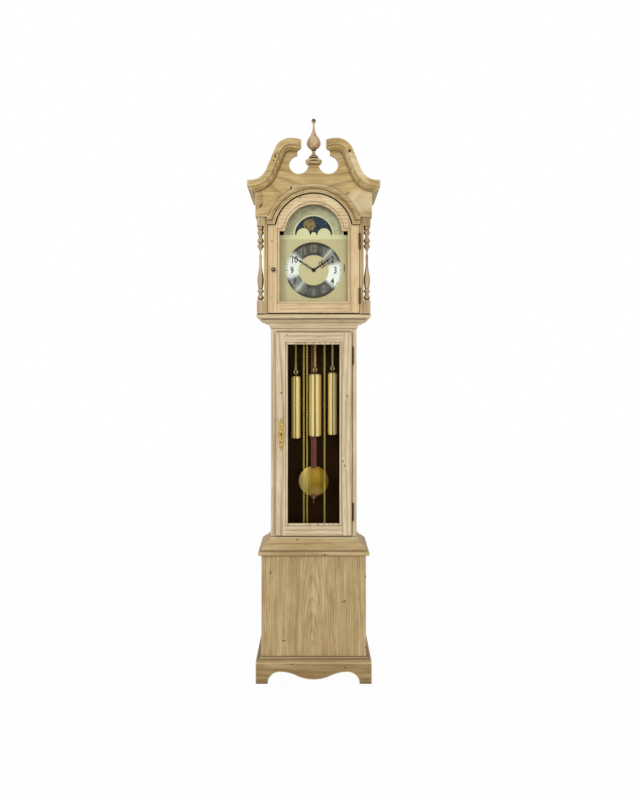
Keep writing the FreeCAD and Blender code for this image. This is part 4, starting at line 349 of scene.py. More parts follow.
def limed_pine(name, colours, nicks_and_painted_light, worn_and_highlit, run="z", heart=(0.0, 0.045, 0.0), bow=0.0, ring_share=1.0,
               ring_depth=0.5, glaze_and_shade_depth=0.9, grain=None, lime=None, darkened_inside=None):
    """Pine that was limed, leaving pale streaks in its pores, with brown glazing and painted shade, wiped back.
    """
    look = bpy.context.scene.clock_settings
    light, dark = colours
    grain, lime = grain or look.grain, lime or look.lime
    material, tree, spot = fresh_material(name)
    space, (x, y, z) = board_space(tree, spot, run)
    late = growth_rings(tree, space, heart, bow, look.ring_spacing * ring_share)
    fibre = streaks(tree, space, PORES, 3.0)
    streak = streaks(tree, space, STREAKS, 3.0, 0.65)
    wash = streaks(tree, space, WASH, 4.0, 0.7)
    shade = add(tree, "ShaderNodeMath", {0: wash, 1: 1.5, 2: streak}, operation="MULTIPLY_ADD")
    base = tinted(tree, light, dark, shade, 0.9, 1.6)
    late = add(tree, "ShaderNodeMath", {0: late, 1: ring_depth}, operation="MULTIPLY")
    base = add(tree, "ShaderNodeMix", {0: late, 6: base, 7: grain}, data_type="RGBA")
    base = tinted(tree, base, lime, streak, 0.48, 0.34, 0.22)
    base = tinted(tree, base, grain, fibre, 0.45, 0.25, 0.6)
    # edges painted pale over about 5 mm: partly wear, partly painted highlight
    edge_wear_and_highlight = add(tree, "ShaderNodeAmbientOcclusion", {"Distance": 5 * MM}, samples=8, only_local=True,
               inside=True)
    base = tinted(tree, base, lime, edge_wear_and_highlight.outputs["AO"], 0.92, 0.5, 0.55)
    # pale patches painted in: partly wear from handling, partly painted highlight
    if worn_and_highlit:
        worn_and_highlit_patches = nick_mask(tree, x, z, worn_and_highlit)
        worn_and_highlit_patches = add(tree, "ShaderNodeMath", {0: worn_and_highlit_patches, 1: streak}, operation="MULTIPLY")
        base = add(tree, "ShaderNodeMix", {0: worn_and_highlit_patches, 6: base, 7: "#FBE9BE"}, data_type="RGBA")
    # glazing and painted shade in hollows, corners and seams
    base = glazed(tree, base, look.glaze, glaze_and_shade_depth)
    height = add(tree, "ShaderNodeMath", {0: fibre, 1: 0.5}, operation="MULTIPLY")
    # dark dents and scratches, and on the finial painted shade in its rings and a dark tip
    if nicks_and_painted_light:
        dents_and_shade = nick_mask(tree, x, z, nicks_and_painted_light)
        base = add(tree, "ShaderNodeMix", {0: dents_and_shade, 6: base, 7: "#2E1C0C"}, data_type="RGBA")
        height = add(tree, "ShaderNodeMath", {0: height, 1: dents_and_shade}, operation="SUBTRACT")
    shine = WAX_SHINE
    if darkened_inside:
        base, shine = stained(tree, base, streak, x, y, darkened_inside, look.stain)
    return surfaced(material, base, fibre, (0.48, 0.66), (0.35, 0.7), {"Specular IOR Level": shine}, height)


def brushed_metal(name, colour, shade, roughness, grain=FINE_LINES, spots=0.0, metallic=1.0):
    """Metal with fine lines left by a brush, a lathe or a die.

    The grain is the spacing of its lines in mm along each axis.
    """
    material, tree, spot = fresh_material(name)
    brush = streaks(tree, spot, [1000 / size if size else 0.0 for size in grain], 2.0)
    # tarnish in clouds about 18 mm wide
    cloud = add(tree, "ShaderNodeTexNoise", {"Vector": spot, "Scale": 55.0, "Detail": 3.0})
    base = tinted(tree, colour, shade, cloud, 0.45, 0.75, 0.25 + spots)
    return surfaced(material, base, brush, (roughness * 0.75, roughness * 1.3), (0.12, 0.1),
                    {"Metallic": metallic})


def window_glass():
    """Drawn and polished glass in the doors, clear and very faintly green.

    Light passes it freely, so that what lies behind is lit as through real glass.
    """
    material, tree, spot = fresh_material("Window glass, drawn and polished")
    # drawn glass waves a little over about 90 mm
    wave = add(tree, "ShaderNodeTexNoise", {"Vector": spot, "Scale": 11.0, "Detail": 1.0})
    bump = add(tree, "ShaderNodeBump", {"Strength": 0.03, "Distance": 1 * MM, "Height": wave})
    tint = add(tree, "ShaderNodeMix", {0: wave, 6: "#FDFDFC", 7: "#F8FAF7"}, data_type="RGBA")
    # the room is white all round, so a low IOR keeps the pane from mirroring it over the dark inside
    glass = add(tree, "ShaderNodeBsdfPrincipled", {
        "Base Color": tint, "Roughness": 0.02, "IOR": 1.05, "Transmission Weight": 1.0, "Normal": bump})
    clear = add(tree, "ShaderNodeBsdfTransparent", {0: "#F9FBF8"})
    passing = rays(tree, "Is Shadow Ray", "Is Diffuse Ray", "Is Glossy Ray")
    return finished(material, add(tree, "ShaderNodeMixShader", {0: passing, 1: glass, 2: clear}))


def from_hour(tree, angle, x, z):
    """Distance from the middle of the nearest hour on the chapter ring."""
    hour = add(tree, "ShaderNodeMath", {0: angle, 1: HOUR_STEP}, operation="DIVIDE")
    hour = add(tree, "ShaderNodeMath", {0: hour}, operation="ROUND")
    hour = add(tree, "ShaderNodeMath", {0: hour, 1: HOUR_STEP}, operation="MULTIPLY")
    off = {}
    for axis, wave, place in ((0, "SINE", x), (1, "COSINE", z)):
        way = add(tree, "ShaderNodeMath", {0: hour}, operation=wave)
        off[axis] = add(tree, "ShaderNodeMath", {0: way, 1: -HOUR_CIRCLE, 2: place}, operation="MULTIPLY_ADD")
    return add(tree, "ShaderNodeVectorMath", {0: add(tree, "ShaderNodeCombineXYZ", off)}, operation="LENGTH")


def silvered_ring(bright, dark):
    """Brass silvered and spun on the lathe.

    Its sheen is painted: painted highlights in two broad fans, right and left, and two narrow ones beside them.
    """
    material, tree, spot = fresh_material("Chapter ring, silvered and spun")
    far, angle, x, z = polar(tree, spot, DIAL_CENTRE)
    # turning lines 0.25 mm apart, and a slow change round the ring
    lines = turned_lines(tree, ((far, 4000.0), (angle, 1.2)), 2.0)
    # slow random change in the painted sheen
    fans = turned_lines(tree, ((far, 40.0), (angle, 9.0)), 3.0)
    share = add(tree, "ShaderNodeMath", {0: angle, 1: 2 * math.pi}, operation="DIVIDE")
    share = add(tree, "ShaderNodeMath", {0: share, 1: 1.0, 2: 0.0}, operation="WRAP")
    # painted sheen: brightness painted round the ring, from painted shade to painted highlight
    painted_sheen = brightness(tree, share, [(degrees / 360, value) for degrees, value in RING_PAINTED_SHEEN])
    light = add(tree, "ShaderNodeMath", {0: fans, 1: 0.22, 2: -0.1}, operation="MULTIPLY_ADD")
    light = add(tree, "ShaderNodeMath", {0: light, 1: painted_sheen}, operation="ADD")
    # each hour stands in a medallion with a dark rim, a little brighter in the painted sheen
    local = from_hour(tree, angle, x, z)
    medallion = add(tree, "ShaderNodeMapRange", {0: local, 1: MEDALLION + 0.4 * MM, 2: MEDALLION - 0.4 * MM})
    light = add(tree, "ShaderNodeMath", {0: medallion, 1: 0.055, 2: light}, operation="MULTIPLY_ADD")
    # the ring darkens to its outer edge
    outer = add(tree, "ShaderNodeMapRange", {0: far, 1: 90 * MM, 2: 100 * MM, 4: -0.25})
    light = add(tree, "ShaderNodeMath", {0: light, 1: outer}, operation="ADD")
    base = add(tree, "ShaderNodeMix", {0: light, 6: dark, 7: bright}, data_type="RGBA")
    rim = add(tree, "ShaderNodeMath", {0: local, 1: MEDALLION, 2: 0.5 * MM}, operation="COMPARE")
    rim = add(tree, "ShaderNodeMath", {0: rim, 1: 0.35}, operation="MULTIPLY")
    base = add(tree, "ShaderNodeMix", {0: rim, 6: base, 7: "#5E5654"}, data_type="RGBA")
    return surfaced(material, base, lines, (0.3, 0.42), (0.15, 0.05), {"Metallic": 0.25})


def dial_satin(gold):
    """Dial plate: brass lacquered pale gold and grained level, its arch rim silvered and grained round."""
    material, tree, spot = fresh_material("Dial plate, satin lacquered brass")
    far, angle, _, z = polar(tree, spot, ARCH_CENTRE)
    # level grain lines about 0.45 mm apart
    grain = streaks(tree, spot, (12, 12, 2200), 2.0)
    cloud = add(tree, "ShaderNodeTexNoise", {"Vector": spot, "Scale": 9.0, "Detail": 2.0})
    base = tinted(tree, gold, "#CABB8C", cloud, 0.35, 0.7)
    base = tinted(tree, base, "#E2DAAF", z, ARCH_LINE, ARCH_LINE + MM / 2)
    fan = turned_lines(tree, ((angle, 4.5), (far, 60.0)), 4.0, 0.7)
    silver = tinted(tree, "#AAA484", "#D9D4AE", fan, 0.3, 0.7)
    band = add(tree, "ShaderNodeMapRange", {0: far, 1: 70 * MM, 2: 73 * MM})
    upper = add(tree, "ShaderNodeMath", {0: z, 1: 0.0}, operation="GREATER_THAN")
    band = add(tree, "ShaderNodeMath", {0: band, 1: upper}, operation="MULTIPLY")
    base = add(tree, "ShaderNodeMix", {0: band, 6: base, 7: silver}, data_type="RGBA")
    return surfaced(material, base, grain, (0.42, 0.58), (0.1, 0.05), {"Metallic": 0.35})


def moon_paint():
    """Moon disc in enamel: night blue with small stars, and two mottled brown moons."""
    material, tree, spot = fresh_material("Moon disc, painted enamel")
    x, _, z = add(tree, "ShaderNodeSeparateXYZ", {0: spot}).outputs
    flat = add(tree, "ShaderNodeCombineXYZ", {0: x, 1: z})
    cloud = add(tree, "ShaderNodeTexNoise", {"Vector": flat, "Scale": 30.0, "Detail": 3.0})
    cloud = add(tree, "ShaderNodeMapRange", {0: cloud, 1: 0.42, 2: 0.66})
    base = add(tree, "ShaderNodeMix", {0: cloud, 6: "#060E27", 7: "#17345C"}, data_type="RGBA")
    # one star to about every 9 mm
    stars = add(tree, "ShaderNodeTexVoronoi", {"Vector": flat, "Scale": 110.0, "Randomness": 0.9},
                voronoi_dimensions="2D")
    base = tinted(tree, base, "#D8CFA2", stars, 0.10, 0.05)
    seas = add(tree, "ShaderNodeTexNoise", {"Vector": flat, "Scale": 130.0, "Detail": 4.0, "Roughness": 0.65})
    skin = tinted(tree, "#B39C68", "#4C3A1E", seas, 0.42, 0.62)
    for way in (MOON_ORBIT, -MOON_ORBIT):
        place = (ARCH_CENTRE.x + way * math.cos(MOON_TURN), ARCH_CENTRE.z + way * math.sin(MOON_TURN), 0)
        local = add(tree, "ShaderNodeVectorMath", {0: flat, 1: place}, operation="SUBTRACT")
        far = add(tree, "ShaderNodeVectorMath", {0: local}, operation="LENGTH")
        shaded = tinted(tree, skin, "#3A2C16", far, MOON_RADIUS * 0.7, MOON_RADIUS, 0.5)
        base = tinted(tree, base, shaded, far, MOON_RADIUS + 0.3 * MM, MOON_RADIUS - 0.3 * MM)
    return surfaced(material, base, cloud, (0.3, 0.45), None, {"Specular IOR Level": 0.3})


def hand_paint():
    """Stamped steel hands in matt black paint, with a faint orange-peel of about 1 mm."""
    material, tree, spot = fresh_material("Hands, black painted steel")
    peel = add(tree, "ShaderNodeTexNoise", {"Vector": spot, "Scale": 900.0, "Detail": 2.0})
    base = add(tree, "ShaderNodeMix", {0: peel, 6: "#0B0908", 7: "#191411"}, data_type="RGBA")
    return surfaced(material, base, peel, (0.4, 0.55), (0.1, 0.05), {"Specular IOR Level": 0.25})


def ringed_brass(name, centre, rings):
    """Aged brass fitting turned or pierced: rings about a centre, each with its reach in mm and colour."""
    material, tree, spot = fresh_material(name)
    far = polar(tree, spot, centre)[0]
    # patina in spots about 4 mm wide
    cloud = add(tree, "ShaderNodeTexNoise", {"Vector": spot, "Scale": 260.0, "Detail": 3.0})
    base = rings[0][1]
    for reach, shade in rings[1:]:
        base = tinted(tree, base, shade, far, (reach + 0.3) * MM, (reach - 0.3) * MM)
    base = tinted(tree, base, "#3D2C12", cloud, 0.45, 0.7, 0.55)
    return surfaced(material, base, cloud, (0.28, 0.5), (0.2, 0.2), {"Metallic": 0.3})


def numeral_ink():
    """Etched numerals filled with black wax, with a painted reflection: gold where the ring's painted sheen is
    dark.
    """
    material, tree, spot = fresh_material("Etched numerals, wax filled")
    angle = polar(tree, spot, DIAL_CENTRE)[1]
    sideways = add(tree, "ShaderNodeMath", {0: angle}, operation="SINE")
    sideways = add(tree, "ShaderNodeMath", {0: sideways}, operation="ABSOLUTE")
    base = tinted(tree, "#8C825A", "#1D1917", sideways, 0.62, 0.8)
    return finished(material, add(tree, "ShaderNodeBsdfPrincipled", {"Base Color": base, "Roughness": 0.45}))


def mark_ink():
    """Black wax in engraved marks."""
    material, tree, spot = fresh_material("Engraved marks, black wax")
    cloud = add(tree, "ShaderNodeTexNoise", {"Vector": spot, "Scale": 300.0, "Detail": 2.0})
    base = add(tree, "ShaderNodeMix", {0: cloud, 6: "#1E1B19", 7: "#3C3733"}, data_type="RGBA")
    return finished(material, add(tree, "ShaderNodeBsdfPrincipled", {"Base Color": base, "Roughness": 0.5}))


def tube_brass(name, box, gold):
    """Brass tube, drawn and polished, with a painted reflection: bright bands of the room and the dark case
    between them.
    """
    material, tree, spot = fresh_material(name)
    x = add(tree, "ShaderNodeSeparateXYZ", {0: spot})
    across = add(tree, "ShaderNodeMapRange", {0: x, 1: box[0].x, 2: box[1].x})
    # painted reflection: dark bands, gold, and pale painted highlights
    painted_sheen = brightness(tree, across, TUBE_PAINTED_REFLECTION)
    base = tinted(tree, "#3E2A08", gold, painted_sheen, 0.0, 0.6)
    base = tinted(tree, base, "#FFFBD2", painted_sheen, 0.6, 1.0)
    # draw lines about 1 mm apart run down the tube
    drawn = streaks(tree, spot, (1000, 1000, 6), 2.0)
    base = tinted(tree, base, "#B48A38", drawn, 0.5, 0.75, 0.3)
    return surfaced(material, base, drawn, (0.16, 0.26), (0.08, 0.1), {"Metallic": 0.3})


def spun_brass(name, colour, shade, lit, box):
    """Brass disc turned on a lathe, lines 0.4 mm apart, with light on its left rim and its foot."""
    material, tree, spot = fresh_material(name)
    radius = (box[1].x - box[0].x) / 2
    far, angle, x, z = polar(tree, spot, centre_of(box))
    lines = turned_lines(tree, ((far, 2500.0), (angle, 9.0)), 3.0)
    base = add(tree, "ShaderNodeMix", {0: lines, 6: colour, 7: shade}, data_type="RGBA")
    # painted highlight on the left rim and painted light on the foot
    left = add(tree, "ShaderNodeMapRange", {0: x, 1: -0.15 * radius, 2: -radius})
    foot = add(tree, "ShaderNodeMapRange", {0: z, 1: -0.3 * radius, 2: -radius, 4: 0.4})
    painted_sheen = add(tree, "ShaderNodeMath", {0: left, 1: foot}, operation="MAXIMUM")
    base = add(tree, "ShaderNodeMix", {0: painted_sheen, 6: base, 7: lit}, data_type="RGBA")
    return surfaced(material, base, lines, (0.35, 0.5), (0.35, 0.15), {"Metallic": 0.7})


def dress(names, material):
    """Give CAD nodes a material."""
    for name in names:
        slots = CAD[name].data.materials
        if not slots:
            slots.append(material)
        for place in range(len(slots)):
            slots[place] = material


def placed(name, data):
    """Object that holds a mesh, text, lamp or camera, linked to the scene."""
    obj = bpy.data.objects.new(name, data)
    bpy.context.scene.collection.objects.link(obj)
    return obj


def plain_mesh(obj):
    """Mesh of an object as its modifiers or its text make it; the object goes."""
    graph = bpy.context.evaluated_depsgraph_get()
    mesh = bpy.data.meshes.new_from_object(obj.evaluated_get(graph), depsgraph=graph)
    bpy.data.objects.remove(obj)
    return mesh


def settle(obj, body):
    """Finish a piece: it rides on a body."""
    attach(obj, body)


def grown(name, tree, values, material):
    """Plain mesh object made by a Geometry Nodes tree with its inputs set by socket identifier."""
    holder = placed(name + "_holder", bpy.data.meshes.new(name + "_holder"))
    modifier = holder.modifiers.new("Nodes", "NODES")
    modifier.node_group = tree
    sockets = {item.name: item.identifier for item in tree.interface.items_tree
               if item.item_type == "SOCKET" and item.in_out == "INPUT"}
    for label, given in dict(values, Material=material).items():
        modifier[sockets[label]] = given
    mesh = plain_mesh(holder)
    mesh.name = name
    return placed(name, mesh)


def new_geometry_tree(name, inputs):
    """Geometry Nodes tree with named inputs and one geometry output, and the sockets of its inputs."""
    tree = bpy.data.node_groups.new(name, "GeometryNodeTree")
    tree.interface.new_socket("Geometry", in_out="OUTPUT", socket_type="NodeSocketGeometry")
    for label, kind in inputs:
        tree.interface.new_socket(label, in_out="INPUT", socket_type="NodeSocket" + kind)
    return tree, add(tree, "NodeGroupInput").outputs


def finish_geometry(tree, real, given):
    """End a tree with its real geometry in the given material."""
    dressed = add(tree, "GeometryNodeSetMaterial", {"Geometry": real, "Material": given["Material"]})
    add(tree, "NodeGroupOutput", {0: dressed})
    return tree


def chain_tree():
    """Oval links threaded along a straight upright line, each turned a quarter from the last."""
    tree, given = new_geometry_tree("Chain links", (
        ("Top", "Vector"), ("Bottom", "Vector"), ("Pitch", "Float"), ("Link length", "Float"),
        ("Link width", "Float"), ("Wire", "Float"), ("Material", "Material")))
    line = add(tree, "GeometryNodeCurvePrimitiveLine", {"Start": given["Top"], "End": given["Bottom"]})
    points = add(tree, "GeometryNodeCurveToPoints", {"Curve": line, "Length": given["Pitch"]}, mode="LENGTH")
    # a link is a ring drawn out to an oval
    ring = add(tree, "GeometryNodeCurvePrimitiveCircle", {"Resolution": 12, "Radius": 1.0})
    wide = add(tree, "ShaderNodeMath", {0: given["Link width"], 1: 0.5}, operation="MULTIPLY")
    long = add(tree, "ShaderNodeMath", {0: given["Link length"], 1: 0.5}, operation="MULTIPLY")
    size = add(tree, "ShaderNodeCombineXYZ", {0: wide, 1: long, 2: 1.0})
    oval = add(tree, "GeometryNodeTransform", {"Geometry": ring, "Scale": size})
    upright = add(tree, "GeometryNodeTransform", {"Geometry": oval, "Rotation": UPRIGHT})
    wire = add(tree, "GeometryNodeCurvePrimitiveCircle", {"Resolution": 6, "Radius": given["Wire"]})
    link = add(tree, "GeometryNodeCurveToMesh", {"Curve": upright, "Profile Curve": wire})
    odd = add(tree, "ShaderNodeMath", {0: add(tree, "GeometryNodeInputIndex"), 1: 2.0}, operation="MODULO")
    turn = add(tree, "ShaderNodeMath", {0: odd, 1: math.pi / 2}, operation="MULTIPLY")
    turn = add(tree, "ShaderNodeCombineXYZ", {2: turn})
    links = add(tree, "GeometryNodeInstanceOnPoints", {"Points": points, "Instance": link, "Rotation": turn})
    real = add(tree, "GeometryNodeRealizeInstances", {0: links})
    return finish_geometry(tree, add(tree, "GeometryNodeSetShadeSmooth", {0: real}), given)


def round_tree(mark):
    """Dots or ticks set round an arc on an upright face."""
    tree, given = new_geometry_tree("Round of " + mark, (
        ("Centre", "Vector"), ("Radius", "Float"), ("Count", "Int"), ("Start", "Float"), ("Sweep", "Float"),
        ("Size", "Vector"), ("Material", "Material")))
    index = add(tree, "GeometryNodeInputIndex")
    share = add(tree, "ShaderNodeMath", {0: index, 1: given["Count"]}, operation="DIVIDE")
    angle = add(tree, "ShaderNodeMath", {0: share, 1: given["Sweep"], 2: given["Start"]},
                operation="MULTIPLY_ADD")
    sine = add(tree, "ShaderNodeMath", {0: angle}, operation="SINE")
    cosine = add(tree, "ShaderNodeMath", {0: angle}, operation="COSINE")
    way = add(tree, "ShaderNodeCombineXYZ", {0: sine, 2: cosine})
    reach = add(tree, "ShaderNodeVectorMath", {0: way, "Scale": given["Radius"]}, operation="SCALE")
    place = add(tree, "ShaderNodeVectorMath", {0: reach, 1: given["Centre"]}, operation="ADD")
    points = add(tree, "GeometryNodePoints", {"Count": given["Count"], "Position": place})
    if mark == "ticks":
        stamp = add(tree, "GeometryNodeMeshCube", {"Size": (1, 1, 1)})
    else:
        stamp = add(tree, "GeometryNodeMeshCylinder", {"Vertices": 12, "Radius": 0.5, "Depth": 1.0})
        stamp = add(tree, "GeometryNodeTransform", {"Geometry": stamp, "Rotation": UPRIGHT})
    lean = add(tree, "ShaderNodeCombineXYZ", {1: angle})
    stamps = add(tree, "GeometryNodeInstanceOnPoints", {
        "Points": points, "Instance": stamp, "Rotation": lean, "Scale": given["Size"]})
    return finish_geometry(tree, add(tree, "GeometryNodeRealizeInstances", {0: stamps}), given)


def build_woods(look):
    """Dress every wooden part; each board gets its own cut of the log."""
    door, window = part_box("waist_door_glass"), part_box("hood_door_glass")
    shell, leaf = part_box("waist_front_frame"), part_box("waist_door_frame")
    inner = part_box("back_board")[0].y
    # where level rails give way to stiles: half width, foot and head; the hood door's glass lies in a
    # rebate, and its arch springs below the posts' heads
    rebate = 9 * MM
    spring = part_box("hood_posts")[1].z - 28 * MM
    waist_rails = (door[1].x, door[0].z, door[1].z)
    hood_rails = (window[1].x - rebate, window[0].z + rebate, spring)
    frame_rails = (leaf[1].x, leaf[0].z, leaf[1].z)
    # the darkening ends within the side boards' thickness, and under the back board's whole face
    side_darkening = (shell[1].x - 8 * MM, inner)
    back_darkening = (1.0, inner + 1 * MM)
    hood, hood_door = (look.hood_light, look.hood_dark), (look.door_light, look.door_dark)
    trunk, base = (look.trunk_light, look.trunk_dark), (look.base_light, look.base_dark)
    foot, turned = (look.foot_light, look.foot_dark), (look.turned_light, look.turned_dark)
    # paler colours: on the hood's cove moulding they paint light where it lies in shade
    shaded_trunk = (look.trunk_light, look.base_light)
    boards = (
        (("scroll_board",), "Limed pine, wide hood board", hood,
         dict(run="x", heart=(1.7, 0.09, 0.02), bow=0.5)),
        (("swan_necks",), "Limed pine, carved crests", hood,
         dict(run="x", heart=(1.9, 0.03, 0), bow=0.8)),
        (("arch_moulding",), "Limed pine, turned arch", hood, dict(run="x", heart=(1.6, 0.05, 0))),
        (("cornice_returns", "frieze_sides"), "Limed pine, hood returns", hood,
         dict(run="y", heart=(1.7, 0.1, 0))),
        (("hood_sides",), "Limed pine, hood sides", hood, dict(heart=(0.1, 0.03, 1.6), bow=0.5)),
        (("hood_posts",), "Limed pine, hood posts", hood, dict(heart=(0.02, 0.02, 1.4))),
        (("hood_columns",), "Limed pine, turned columns", turned,
         dict(heart=(0.19, 0.0, 1.4), ring_share=0.7, glaze_and_shade_depth=1.35)),
        (("hood_door_frame",), "Limed pine, hood door", hood_door,
         dict(run=hood_rails, heart=(0.1, 0.03, 1.5), ring_depth=0.36, glaze_and_shade_depth=1.0)),
        (("hood_roof", "seat_board", "floor_board"), "Pine boards, plain", hood,
         dict(run="x", glaze_and_shade_depth=0.5)),
        (("hood_base_frame", "hood_cove_moulding"), "Limed pine, waist moulding", shaded_trunk,
         dict(run="mitre")),
        (("waist_front_frame",), "Limed pine, trunk front", trunk,
         dict(run=frame_rails, heart=(0.02, 0.05, 0.9))),
        (("waist_door_frame",), "Limed pine, trunk door", trunk,
         dict(run=waist_rails, heart=(-0.05, 0.04, 0.8), bow=0.05, glaze_and_shade_depth=1.05)),
        (("waist_sides",), "Limed pine, trunk sides", shaded_trunk,
         dict(heart=(0.0, 0.03, 0.9), bow=0.06, darkened_inside=side_darkening)),
        (("back_board",), "Pine back board, stained within", foot,
         dict(heart=(0.03, 0.2, 0.9), bow=0.05, darkened_inside=back_darkening)),
        (("base_moulding",), "Limed pine, base moulding", base, dict(run="mitre")),
        (("base_front_panel",), "Limed pine, base front", base,
         dict(heart=(-0.004, -0.03, 0.6), bow=0.2, ring_share=0.6, ring_depth=0.4)),
        (("base_sides",), "Limed pine, base sides", base, dict(heart=(0.1, 0.03, 0.25), bow=0.6)),
        (("plinth_moulding",), "Limed pine, plinth moulding", foot, dict(run="mitre")),
        (("plinth_front",), "Limed pine, plinth front", foot, dict(run="x", heart=(0.04, 0.02, 0))),
        (("plinth_sides",), "Limed pine, plinth sides", foot, dict(run="y", heart=(0.04, 0.15, 0))),
        (("finial",), "Limed pine, turned finial", (look.door_light, look.turned_dark),
         dict(heart=(0.0, -0.09, 1.9), ring_share=0.6, ring_depth=0.3, glaze_and_shade_depth=1.35)),
        (("pendulum_stick",), "Pendulum stick, stained beech", ("#8F4F3A", "#653222"),
         dict(ring_share=0.3, grain="#3E1C0F", lime="#A0644A", glaze_and_shade_depth=0.3)),
    )
    for names, title, colours, how in boards:
        marks = NICKS_AND_SHADE.get(names[0], ()), WORN_AND_HIGHLIT.get(names[0], ())
        dress(names, limed_pine(title, colours, *marks, **how))


def build_metals(look):
    """Dress brass, steel, iron and glass, and give back the chains' brass."""
    for side in SIDES:
        node = "weight_" + side
        dress((node,), tube_brass("Weight shell, polished brass, " + side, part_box(node), look.weight_gold))
    # bright yellow links, dulled in spots where they rub
    chain = brushed_metal("Chain, drawn brass wire", look.chain_gold, "#8A6A2A", 0.32, FINE_LINES, 0.15, 0.7)
    finishes = (
        (("pendulum_bob",),
         spun_brass("Bob brass, spun and matt", look.bob_gold, "#7A5D18", "#FFE08C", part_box("pendulum_bob"))),
        # an even warm sheen under the lacquer
        (("rating_nut", "movement_front_plate", "movement_back_plate", "crutch"),
         brushed_metal("Fittings, lacquered brass", "#B89450", "#86662E", 0.33)),
        ([name for name in CAD if name.startswith(("sprocket_", "chain_"))], chain),
        # the key plate's innermost ring is a keyhole painted nearly black: painted shade
        (("waist_door_escutcheon",),
         ringed_brass("Key plate, cast and aged brass", centre_of(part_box("waist_door_escutcheon")),
                      ((0, "#CFAE54"), (10.5, "#B5913C"), (8, "#D8B95E"), (4.2, "#120C05")))),
        (("hood_door_knob",),
         ringed_brass("Knob, turned and browned brass", centre_of(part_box("hood_door_knob")),
                      ((0, "#150D05"), (2.8, "#C2934A")))),
        # dark brown, nearly black in spots, with level rolled lines
        (("case_hinge_leaves", "hood_door_hinges", "waist_door_hinges"),
         brushed_metal("Hinges, browned brass", "#4E3A1E", "#22170B", 0.45, (0, 0, 0.5), 0.2, 0.6)),
        # grey gloss that runs down the rods
        (("chime_rods",),
         brushed_metal("Steel, drawn bright", "#A9A9A6", "#75736E", 0.28, (0.5, 0.5, 0))),
        # soft black, hardly metallic
        (("chime_lever",),
         brushed_metal("Iron, blacked", "#24201E", "#141210", 0.5, (0.9, 0.9, 0.9), metallic=0.3)),
        (("minute_hand", "hour_hand"), hand_paint()),
        (("hood_door_glass", "waist_door_glass"), window_glass()),
    )
    for names, material in finishes:
        dress(names, material)
    return chain


def build_numerals(look):
    """Twelve upright numerals round the chapter ring, as one mesh."""
    verts, faces = [], []
    for hour in range(1, 13):
        curve = bpy.data.curves.new("numeral", "FONT")
        curve.body = str(hour)
        curve.size = look.numeral_height / DIGIT_SHARE
        curve.offset = look.numeral_weight
        curve.extrude = MARK_THICKNESS / 2
        curve.align_x = "CENTER"
        curve.resolution_u = 4
        mesh = plain_mesh(placed("numeral", curve))
        across = [vertex.co.x for vertex in mesh.vertices]
        halfway = (min(across) + max(across)) / 2
        high = max(vertex.co.y for vertex in mesh.vertices)
        angle = hour * HOUR_STEP
        faces += [[len(verts) + place for place in face.vertices] for face in mesh.polygons]
        verts += [(DIAL_CENTRE.x + HOUR_CIRCLE * math.sin(angle) + (vertex.co.x - halfway) * DIGIT_NARROWING,
                   RING_FACE - MARK_THICKNESS / 2 - vertex.co.z,
                   DIAL_CENTRE.z + HOUR_CIRCLE * math.cos(angle) + vertex.co.y - high / 2)
                  for vertex in mesh.vertices]
        bpy.data.meshes.remove(mesh)
    mesh = bpy.data.meshes.new("dial_numerals")
    mesh.from_pydata(verts, [], faces)
    mesh.materials.append(numeral_ink())
    settle(placed("dial_numerals", mesh), "case")


def build_dial(look):
    """Dress the dial, and add its numerals, minute dots and lunar ticks."""
    dress(("dial_plate",), dial_satin(look.dial_gold))
    dress(("chapter_ring",), silvered_ring(look.ring_bright, look.ring_dark))
    dress(("moon_disc",), moon_paint())
    build_numerals(look)
    black = mark_ink()
    dots = round_tree("dots")
    ring = {"Centre": (DIAL_CENTRE.x, RING_FACE - MARK_THICKNESS / 2, DIAL_CENTRE.z), "Radius": DOT_CIRCLE,
            "Count": 60, "Start": 0.0, "Sweep": 2 * math.pi,
            "Size": (look.minute_dot, MARK_THICKNESS, look.minute_dot)}
    # a little thicker, so that they cover the minute dots under them
    five = dict(ring, Count=12, Size=(look.five_minute_dot, MARK_THICKNESS * 1.2, look.five_minute_dot))
    # the moon's 29 and a half days, each with its half
    arch = {"Centre": (ARCH_CENTRE.x, DIAL_FACE - MARK_THICKNESS / 2, ARCH_CENTRE.z), "Radius": LUNAR_CIRCLE,
            "Count": 59, "Start": math.radians(-84), "Sweep": math.radians(171),
            "Size": (0.35 * MM, MARK_THICKNESS, 3.0 * MM)}
    for name, tree, values in (
            ("minute_dots", dots, ring), ("five_minute_dots", dots, five),
            ("lunar_ticks", round_tree("ticks"), arch)):
        settle(grown(name, tree, values, black), "case")


def build_chains(look, material):
    """Six strands of oval links, each between the works and its weight or end ring."""
    tree = chain_tree()
    for side in SIDES:
        for strand, body in (("loaded", "weight_" + side), ("free", "chain_end_" + side)):
            node = "chain_" + strand + "_" + side
            low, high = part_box(node)
            middle = (low + high) / 2
            links = grown(node + "_links", tree, {
                "Top": (middle.x, middle.y, high.z - END_LINK),
                "Bottom": (middle.x, middle.y, low.z + END_LINK),
                "Pitch": look.link_length - look.link_wire, "Link length": look.link_length,
                "Link width": look.link_width, "Wire": look.link_wire / 2}, material)
            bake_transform(links)
            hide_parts(node)


